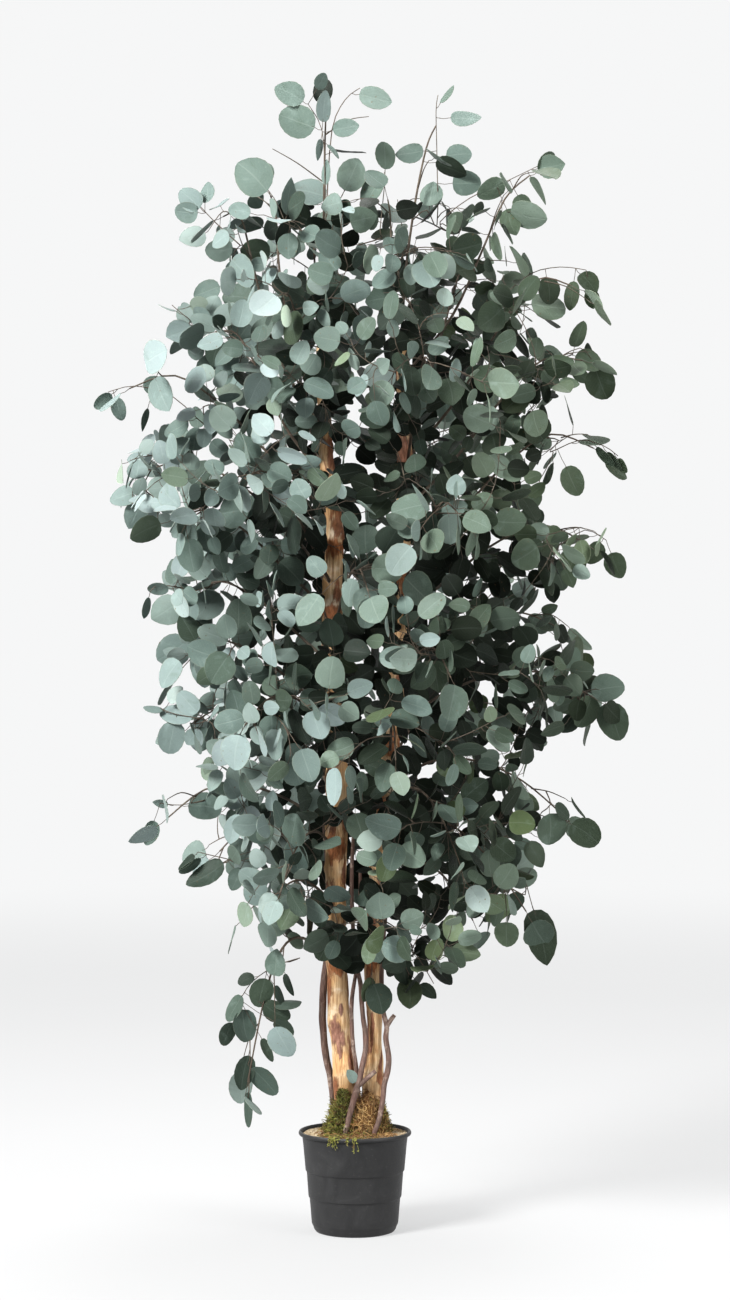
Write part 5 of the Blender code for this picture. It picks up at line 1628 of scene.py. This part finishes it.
def loose_moss(batch, green, draw):
    """Bits of moss that lie on the grit between the mound and the lip, most of them at the front."""
    for _ in range(420 if green else 620):
        turn = math.radians(draw.uniform(-158, -22) if draw.random() < 0.85 else draw.uniform(-22, 202))
        share = draw.uniform(0.0, 1.0) ** 1.3
        x = MOSS_CENTRE[0] + (MOSS_RADIUS[0] * 0.9 * (1 - share) + 0.066 * share) * math.cos(turn)
        y = MOSS_CENTRE[1] + (MOSS_RADIUS[1] * 0.9 * (1 - share) + 0.078 * share) * math.sin(turn)
        if math.hypot(x, y) > 0.077 or (green and draw.random() < 0.5 + 9.0 * x):
            continue
        length = draw.uniform(0.005, 0.013)
        heading = draw.uniform(0, math.tau)
        lie = np.array((math.cos(heading), math.sin(heading), draw.uniform(-0.05, 0.22)))
        root = np.array((x, y, FILL_TOP + draw.uniform(0.0006, 0.0045 * (1 - share) + 0.0014)))
        bow = random_direction(draw) * length * 0.22
        line = [root - lie * length / 2, root + np.abs(bow) * (0.3, 0.3, 1.0), root + lie * length / 2]
        batch.tube(smooth_line(line, 3), 0.00050 if green else 0.00042, 3, tuft=(draw.random() * 0.8, 1, 0))


def strands(batch, draw):
    """Green strands that hang over the lip of the pot at the front, and the tall tuft against the left trunk."""
    for _ in range(13):
        turn = math.radians(-90 + draw.uniform(-28, 1))
        flat = np.array((math.cos(turn), math.sin(turn), 0.0))
        drop = draw.uniform(0.003, 0.017)
        swing = np.array((draw.uniform(-0.003, 0.012), -0.0006, 0.0)) * (drop / 0.017)
        line = smooth_line([
            flat * 0.060 + UPWARD * (FILL_TOP + 0.002), flat * 0.076 + UPWARD * 0.1562,
            flat * 0.0850 + UPWARD * 0.1568,
            flat * 0.0882 + UPWARD * 0.1540, flat * 0.0888 + swing + UPWARD * (0.1535 - drop),
        ], 4)
        batch.tube(line, np.linspace(0.0006, 0.0003, len(line)), 4, tuft=(0.5 + 0.5 * draw.random(), 1, 0))
        for _ in range(9):
            i = draw.randrange(len(line) // 2, len(line))
            lean = normal(random_direction(draw) + np.array((0, -0.6, -0.2)))
            leaflet = [line[i], line[i] + lean * 0.0018, line[i] + lean * 0.0036]
            batch.tube(leaflet, [0.0003, 0.0009, 0.0002], 3, tuft=(0.6 + 0.4 * draw.random(), 1, 0))
    for _ in range(900):
        height = 0.066 * draw.uniform(0.0, 1.0) ** 1.4
        centre = (-0.0175 - 0.002 * height / 0.07, -0.0185)
        turn = draw.uniform(-math.pi, 0)
        spread = 0.018 * (1 - height / 0.078) ** 0.8
        root = np.array((centre[0] + spread * math.cos(turn) * 1.1, centre[1] + spread * 0.7 * math.sin(turn),
                         FILL_TOP + height + 0.004))
        high = height / 0.066
        lean = normal(np.array((math.cos(turn), math.sin(turn), 0.4 + high)) + random_direction(draw) * 0.8)
        length = draw.uniform(0.005, 0.011) * (1 - 0.5 * high)
        line = [root - lean * 0.006, root + lean * length * 0.5, root + lean * length]
        batch.tube(line, [0.0008, 0.0010, 0.0003], 3, tuft=(draw.random(), 1, 0))


# Materials

class Paint:
    """A Principled material and short ways to add nodes to it."""

    def __init__(self, name, **constants):
        self.made = bpy.data.materials.new(name)
        self.made.use_nodes = True
        self.tree = self.made.node_tree
        self.shader = self.tree.nodes["Principled BSDF"]
        for key, value in constants.items():
            self.shader.inputs[key.replace("_", " ")].default_value = value

    def node(self, kind, **settings):
        made = self.tree.nodes.new("ShaderNode" + kind)
        for key, value in settings.items():
            setattr(made, key, value)
        return made

    def put(self, value, socket):
        if hasattr(value, "is_output"):
            self.tree.links.new(value, socket)
        else:
            socket.default_value = value

    def place(self, scale=(1, 1, 1)):
        mapping = self.node("Mapping")
        self.tree.links.new(self.node("TexCoord").outputs["Object"], mapping.inputs["Vector"])
        mapping.inputs["Scale"].default_value = scale
        return mapping.outputs["Vector"]

    def attribute(self, name):
        split = self.node("SeparateXYZ")
        self.tree.links.new(self.node("Attribute", attribute_name=name).outputs["Vector"], split.inputs[0])
        return split.outputs

    def noise(self, scale, detail=4.0, rough=0.55, place=None, distortion=0.0):
        made = self.node("TexNoise")
        self.put(place or self.place(), made.inputs["Vector"])
        made.inputs["Scale"].default_value = scale
        made.inputs["Detail"].default_value = detail
        made.inputs["Roughness"].default_value = rough
        made.inputs["Distortion"].default_value = distortion
        return made.outputs["Fac"]

    def voronoi(self, scale, feature="F1"):
        made = self.node("TexVoronoi", feature=feature)
        self.put(self.place(), made.inputs["Vector"])
        made.inputs["Scale"].default_value = scale
        return made.outputs["Distance"]

    def math(self, operation, a, b=0.0):
        made = self.node("Math", operation=operation)
        self.put(a, made.inputs[0])
        self.put(b, made.inputs[1])
        return made.outputs[0]

    def times(self, a, b):
        return self.math("MULTIPLY", a, b)

    def span(self, value, low, high, to_low=0.0, to_high=1.0, smooth=True):
        made = self.node("MapRange", interpolation_type="SMOOTHSTEP" if smooth else "LINEAR")
        self.put(value, made.inputs["Value"])
        for key, number in (("From Min", low), ("From Max", high), ("To Min", to_low), ("To Max", to_high)):
            made.inputs[key].default_value = number
        return made.outputs["Result"]

    def mix(self, share, a, b, blend="MIX"):
        made = self.node("Mix", data_type="RGBA", blend_type=blend)
        self.put(share, made.inputs[0])
        for value, socket in ((a, made.inputs[6]), (b, made.inputs[7])):
            self.put(value if hasattr(value, "is_output") else (*value, 1.0), socket)
        return made.outputs[2]

    def ramp(self, value, *stops):
        made = self.node("ValToRGB")
        self.put(value, made.inputs["Fac"])
        elements = made.color_ramp.elements
        while len(elements) < len(stops):
            elements.new(0.5)
        for element, (position, colour) in zip(elements, stops):
            element.position = position
            element.color = (*colour, 1.0)
        return made.outputs["Color"]

    def bump(self, height, distance, strength=1.0, before=None):
        made = self.node("Bump")
        made.inputs["Strength"].default_value = strength
        made.inputs["Distance"].default_value = distance
        self.put(height, made.inputs["Height"])
        if before:
            self.put(before, made.inputs["Normal"])
        return made.outputs["Normal"]

    def finish(self, colour=None, roughness=None, bump=None):
        if colour:
            self.put(colour, self.shader.inputs["Base Color"])
        if roughness:
            self.put(roughness, self.shader.inputs["Roughness"])
        if bump:
            self.put(bump, self.shader.inputs["Normal"])
        return self.made


def leaf_finish():
    """Glaucous leaf: waxy bloom, pale midrib and side veins, a thin pale margin and a paler underside. Its tone
    carries painted light and shade, down to near black inside the crown.
    """
    p = Paint("eucalyptus_leaf", Specular_IOR_Level=0.20, Sheen_Weight=0.04, Sheen_Roughness=0.45)
    across, along_, top = p.attribute("leaf_place")
    tone, olive, seed = p.attribute("leaf_tone")
    # From near black, painted shade deep in the crown, to pale blue-green, partly painted light towards the key lamp;
    # the olive ramp likewise
    body = p.ramp(tone, (0.0, (0.008, 0.013, 0.008)), (0.25, (0.036, 0.054, 0.041)), (0.48, (0.106, 0.146, 0.129)),
                  (0.72, (0.198, 0.250, 0.243)), (0.90, (0.250, 0.303, 0.302)), (1.0, (0.282, 0.335, 0.336)))
    green = p.ramp(tone, (0.0, (0.010, 0.016, 0.006)), (0.5, (0.086, 0.118, 0.050)), (1.0, (0.230, 0.290, 0.140)))
    colour = p.mix(olive, body, green)
    # Bloom rubbed off in patches
    patches = p.noise(46, 5, 0.6, distortion=0.6)
    colour = p.mix(p.span(patches, 0.40, 0.72, 0.0, 0.40), colour, (0.92, 1.0, 0.96), "MULTIPLY")
    colour = p.mix(p.times(p.span(patches, 0.52, 0.74, 0.0, 0.34), tone), colour, (0.36, 0.43, 0.41))
    colour = p.mix(p.span(patches, 0.26, 0.46, 0.42, 0.0), colour, (0.55, 0.62, 0.52), "MULTIPLY")
    # Veins
    away = p.math("ABSOLUTE", across)
    midrib = p.span(away, 0.015, 0.075, 1.0, 0.0)
    slant = p.math("SUBTRACT", p.times(along_, 10.0), p.times(away, 3.6))
    wander = p.times(p.noise(70, 2, 0.5), 0.9)
    teeth = p.math("ABSOLUTE", p.math("SUBTRACT", p.math("FRACT", p.math("ADD", slant, wander)), 0.5))
    laterals = p.times(p.span(teeth, 0.0, 0.075, 1.0, 0.0), p.span(away, 0.80, 0.97, 1.0, 0.0))
    veins = p.math("MAXIMUM", midrib, p.times(laterals, 0.55))
    colour = p.mix(p.times(veins, p.span(tone, 0.0, 1.0, 0.04, 0.20)), colour, (0.36, 0.42, 0.38))
    net = p.voronoi(620, "DISTANCE_TO_EDGE")
    colour = p.mix(p.times(p.span(net, 0.0, 0.10, 0.2, 0.0), tone), colour, (0.34, 0.40, 0.34))
    margin = p.span(away, 0.93, 1.0, 0.0, 0.5)
    colour = p.mix(p.times(margin, tone), colour, (0.27, 0.27, 0.19))
    # Small brown specks on a few leaves
    specks = p.times(p.span(p.noise(210, 2, 0.5), 0.69, 0.74), p.span(seed, 0.55, 0.75))
    colour = p.mix(p.times(specks, 0.7), colour, (0.12, 0.075, 0.035))
    under = p.times(p.times(p.math("SUBTRACT", 1.0, top), tone), 0.55)
    colour = p.mix(under, colour, (0.215, 0.265, 0.230))
    roughness = p.span(patches, 0.3, 0.7, 0.46, 0.64)
    raised = p.math("ADD", p.times(veins, 0.7), p.span(net, 0.0, 0.12, 0.25, 0.0))
    normal_ = p.bump(raised, 0.0004, 0.7, p.bump(p.noise(120, 4, 0.6), 0.0012, 0.35))
    return p.finish(colour, roughness, normal_)


def twig_finish():
    """Grey-brown twigs and stalks."""
    p = Paint("eucalyptus_twig", Specular_IOR_Level=0.35)
    tone, _, _ = p.attribute("leaf_tone")
    patches = p.noise(90, 4, 0.6)
    colour = p.ramp(patches, (0.25, (0.036, 0.028, 0.022)), (0.55, (0.090, 0.074, 0.056)),
                     (0.80, (0.165, 0.145, 0.112)))
    colour = p.mix(p.times(tone, 0.22), colour, (0.105, 0.060, 0.042))
    colour = p.mix(p.span(p.voronoi(700), 0.0, 0.25, 0.5, 0.0), colour, (0.04, 0.03, 0.025))
    return p.finish(colour, p.span(patches, 0.2, 0.8, 0.55, 0.8), p.bump(p.noise(420, 3, 0.6), 0.0006, 0.6))


def peeled_finish():
    """Peeled wood, straw to honey, with stringy fibres, rust to purple-brown flakes of bark left on it, and painted
    shade in the grooves between its ridges.
    """
    p = Paint("peeled_wood", Specular_IOR_Level=0.30)
    share, hue, ridge = p.attribute("bark")
    strings = p.noise(1.0, 6, 0.62, p.place((420, 420, 22)), 0.4)
    grain_ = p.noise(1.0, 5, 0.6, p.place((1150, 1150, 40)))
    broad = p.noise(30, 3, 0.5)
    wood = p.ramp(strings, (0.22, (0.215, 0.120, 0.055)), (0.42, (0.440, 0.290, 0.160)), (0.58, (0.600, 0.435, 0.262)),
                  (0.80, (0.770, 0.620, 0.430)))
    wood = p.mix(p.span(broad, 0.42, 0.62, 0.0, 0.75), wood, (0.97, 0.80, 0.62), "MULTIPLY")
    wood = p.mix(p.span(broad, 0.30, 0.44, 0.55, 0.0), wood, (0.80, 0.72, 0.58))
    wood = p.mix(p.span(grain_, 0.56, 0.76, 0.0, 0.55), wood, (0.30, 0.16, 0.07))
    wood = p.mix(p.span(grain_, 0.20, 0.40, 0.45, 0.0), wood, (0.86, 0.74, 0.54))
    flake = p.noise(1.0, 5, 0.65, p.place((260, 260, 90)))
    rust = p.ramp(flake, (0.25, (0.070, 0.024, 0.012)), (0.50, (0.250, 0.088, 0.030)), (0.78, (0.470, 0.205, 0.085)))
    purple = p.ramp(flake, (0.25, (0.060, 0.034, 0.030)), (0.50, (0.185, 0.095, 0.080)), (0.78, (0.370, 0.225, 0.190)))
    bark = p.mix(hue, rust, purple)
    # Each flake's ragged edge
    ragged = p.math("SUBTRACT", p.noise(1.0, 6, 0.72, p.place((400, 400, 70))), 0.5)
    share = p.math("ADD", share, p.times(ragged, 1.7))
    edge = p.times(p.span(share, 0.24, 0.46), p.span(share, 0.50, 0.80, 1.0, 0.0))
    colour = p.mix(p.span(share, 0.32, 0.74, 0.0, 0.92), wood, bark)
    colour = p.mix(p.times(edge, 0.35), colour, (0.13, 0.065, 0.035))
    # Painted shade: darker in the grooves between the wood's ridges
    colour = p.mix(p.span(ridge, 0.16, 0.42, 0.50, 0.0), colour, (0.42, 0.25, 0.14), "MULTIPLY")
    roughness = p.span(strings, 0.2, 0.8, 0.62, 0.86)
    normal_ = p.bump(strings, 0.0016, 0.75, p.bump(grain_, 0.0006, 0.6, p.bump(flake, 0.0010, 0.35)))
    return p.finish(colour, roughness, normal_)


def brown_finish():
    """Thin grey-brown to purple bark of the side stems, pale where they are cut."""
    p = Paint("stem_bark", Specular_IOR_Level=0.32)
    share, hue, _ = p.attribute("bark")
    strings = p.noise(1.0, 5, 0.6, p.place((520, 520, 48)), 0.3)
    colour = p.ramp(strings, (0.22, (0.034, 0.022, 0.018)), (0.50, (0.118, 0.078, 0.063)),
                     (0.80, (0.270, 0.200, 0.168)))
    colour = p.mix(p.times(share, 0.45), colour, (0.145, 0.076, 0.060))
    colour = p.mix(p.span(p.noise(65, 4, 0.6), 0.56, 0.68, 0.0, 0.6), colour, (0.36, 0.29, 0.24))
    colour = p.mix(p.span(hue, 0.2, 0.5, 1.0, 0.0), colour, (0.55, 0.40, 0.24))
    normal_ = p.bump(strings, 0.0012, 0.8, p.bump(p.noise(900, 3, 0.6), 0.0005, 0.5))
    return p.finish(colour, p.span(strings, 0.2, 0.8, 0.60, 0.82), normal_)


def plastic_finish():
    """Matt black moulded plastic with a fine grain, dull scuffs and a little dust above each ledge."""
    p = Paint("pot_plastic", Specular_IOR_Level=0.42)
    scuffs = p.noise(24, 6, 0.65, distortion=1.2)
    lines_ = p.noise(1.0, 4, 0.6, p.place((16, 16, 240)))
    colour = p.ramp(scuffs, (0.30, (0.015, 0.015, 0.0155)), (0.60, (0.024, 0.024, 0.0245)),
                     (0.82, (0.050, 0.050, 0.050)))
    colour = p.mix(p.span(p.noise(190, 3, 0.6), 0.62, 0.72, 0.0, 0.30), colour, (0.070, 0.068, 0.064))
    upward = p.node("SeparateXYZ")
    p.tree.links.new(p.node("NewGeometry").outputs["Normal"], upward.inputs[0])
    colour = p.mix(p.span(upward.outputs[2], 0.3, 0.9, 0.0, 0.35), colour, (0.14, 0.135, 0.125))
    normal_ = p.bump(p.noise(1500, 2, 0.5), 0.0003, 0.5, p.bump(lines_, 0.0006, 0.22))
    return p.finish(colour, p.span(scuffs, 0.3, 0.8, 0.44, 0.62), normal_)


def grit_finish():
    """Pale grit with darker loose grains."""
    p = Paint("gritty_filling", Specular_IOR_Level=0.25)
    tone, loose, _ = p.attribute("grit")
    patches = p.noise(160, 5, 0.65)
    colour = p.ramp(patches, (0.25, (0.300, 0.225, 0.140)), (0.52, (0.520, 0.430, 0.300)),
                     (0.80, (0.720, 0.640, 0.500)))
    colour = p.mix(p.times(loose, p.span(tone, 0.3, 1.0, 0.0, 0.75)), colour, (0.30, 0.20, 0.12))
    colour = p.mix(p.span(p.noise(46, 3, 0.6), 0.56, 0.70, 0.0, 0.65), colour, (0.26, 0.19, 0.10))
    return p.finish(colour, p.span(patches, 0.2, 0.8, 0.80, 0.96), p.bump(p.noise(900, 4, 0.65), 0.0008, 0.8))


def moss_finish(name, dark, middle, pale, stray):
    """Fibrous moss of three tones with stray fibres of another."""
    p = Paint(name, Specular_IOR_Level=0.22, Sheen_Weight=0.15, Sheen_Roughness=0.5)
    tone, _, _ = p.attribute("tuft")
    patches = p.noise(85, 5, 0.65)
    mixed = p.math("ADD", p.times(tone, 0.55), p.times(patches, 0.55))
    colour = p.ramp(mixed, (0.22, dark), (0.52, middle), (0.86, pale))
    colour = p.mix(p.times(p.span(p.noise(150, 4, 0.6), 0.48, 0.62), 0.8), colour, stray)
    return p.finish(colour, p.span(patches, 0.2, 0.8, 0.78, 0.95), p.bump(p.noise(1100, 3, 0.6), 0.0006, 0.7))


# Camera, light and floor

def aim(obj, at, target):
    """Puts an object somewhere and turns its -Z to a target."""
    obj.location = at
    obj.rotation_euler = (Vector(target) - Vector(at)).to_track_quat("-Z", "Y").to_euler()


def area_light(name, at, target, size, power, colour=(1, 1, 1)):
    data = bpy.data.lights.new(name, "AREA")
    data.shape = "DISK"
    data.size = size
    data.energy = power
    data.color = colour
    obj = bpy.data.objects.new(name, data)
    bpy.context.scene.collection.objects.link(obj)
    aim(obj, at, target)


# Colour of the wall, and of the floor far away
WALL = (0.775, 0.778, 0.780)


# Seeds of the sprays' leaves and of the two pieces of moss
SPRAY_SEED, GREEN_SEED, GOLDEN_SEED = 900, 51, 52


def set_stage():
    """Camera, lights, wall and floor."""
    scene = bpy.context.scene
    data = bpy.data.cameras.new("camera")
    data.lens = CAMERA_LENS
    data.sensor_width = SENSOR_WIDE
    data.clip_end = 200.0
    camera = bpy.data.objects.new("camera", data)
    scene.collection.objects.link(camera)
    aim(camera, CAMERA_AT, (CAMERA_AT[0], 0.0, CAMERA_AT[2]))
    scene.camera = camera
    scene.view_settings.view_transform = "Standard"
    scene.view_settings.look = "Medium High Contrast"
    scene.view_settings.exposure = 0.0

    area_light("key", (-3.0, -3.2, 3.3), (0.0, 0.0, 0.9), 1.7, 455)
    area_light("fill", (3.6, -2.4, 2.0), (0.0, 0.0, 0.8), 2.4, 95)
    area_light("top", (0.6, 1.2, 4.6), (0.0, 0.0, 1.0), 2.2, 130)

    world = bpy.data.worlds.new("studio")
    world.use_nodes = True
    tree = world.node_tree
    sky = tree.nodes["Background"]
    sky.inputs["Strength"].default_value = 1.0
    split = tree.nodes.new("ShaderNodeSeparateXYZ")
    tree.links.new(tree.nodes.new("ShaderNodeTexCoord").outputs["Generated"], split.inputs[0])
    ramp = tree.nodes.new("ShaderNodeValToRGB")
    tree.links.new(split.outputs[2], ramp.inputs["Fac"])
    ramp.color_ramp.elements[0].position, ramp.color_ramp.elements[1].position = 0.30, 0.62
    ramp.color_ramp.elements[0].color = (*WALL, 1.0)
    ramp.color_ramp.elements[1].color = (0.23, 0.23, 0.24, 1.0)
    tree.links.new(ramp.outputs["Color"], sky.inputs["Color"])
    scene.world = world

    p = Paint("floor_paint", Specular_IOR_Level=0.0)
    p.shader.inputs["Roughness"].default_value = 0.9
    tint = p.noise(1.2, 2, 0.5)
    far = p.node("VectorMath", operation="LENGTH")
    p.put(p.place(), far.inputs[0])
    far = p.span(far.outputs["Value"], 1.2, 7.0)
    pale = p.ramp(tint, (0.3, (0.196, 0.196, 0.196)), (0.7, (0.202, 0.202, 0.201)))
    p.put(p.span(far, 0.0, 1.0, 0.615, 1.0, False), p.shader.inputs["Emission Strength"])
    p.shader.inputs["Emission Color"].default_value = (*WALL, 1.0)
    finish = p.finish(p.mix(far, pale, (0.0, 0.0, 0.0)))
    sides = 96
    points = [(60 * math.cos(math.tau * k / sides), 60 * math.sin(math.tau * k / sides), 0.0) for k in range(sides)]
    mesh = bpy.data.meshes.new("floor")
    mesh.from_pydata(points, [], [tuple(range(sides))])
    mesh.materials.append(finish)
    floor = bpy.data.objects.new("floor", mesh)
    scene.collection.objects.link(floor)


def main():
    set_stage()
    growth = grow_crown()
    roots = {name: [] for name in TRUNKS}
    for name, spec in SPRAYS.items():
        if spec[1] is not None:
            roots[spec[0]].append(growth.twigs[name][0][0][2])
    leafy = (leaf_finish(), twig_finish())
    for i, name in enumerate(SPRAYS):
        build_spray(growth, name, leafy, random.Random(SPRAY_SEED + i))
    peeled, brown = peeled_finish(), brown_finish()
    for i, name in enumerate(TRUNKS):
        build_fine_trunk(name, peeled, roots[name], i)
    for i, (name, (rings, stub)) in enumerate(VINES.items()):
        build_fine_vine(name, rings, stub, brown, i)
    build_fine_pot(plastic_finish())
    build_fine_filling(grit_finish())
    green = moss_finish("green_moss_tufts", (0.020, 0.020, 0.005), (0.120, 0.125, 0.026), (0.330, 0.330, 0.085),
                        (0.150, 0.085, 0.028))
    golden = moss_finish("golden_moss_fibres", (0.045, 0.020, 0.008), (0.270, 0.150, 0.055), (0.600, 0.420, 0.190),
                         (0.135, 0.060, 0.022))
    build_fine_moss("moss_green", green, True, random.Random(GREEN_SEED))
    build_fine_moss("moss_golden", golden, False, random.Random(GOLDEN_SEED))


main()
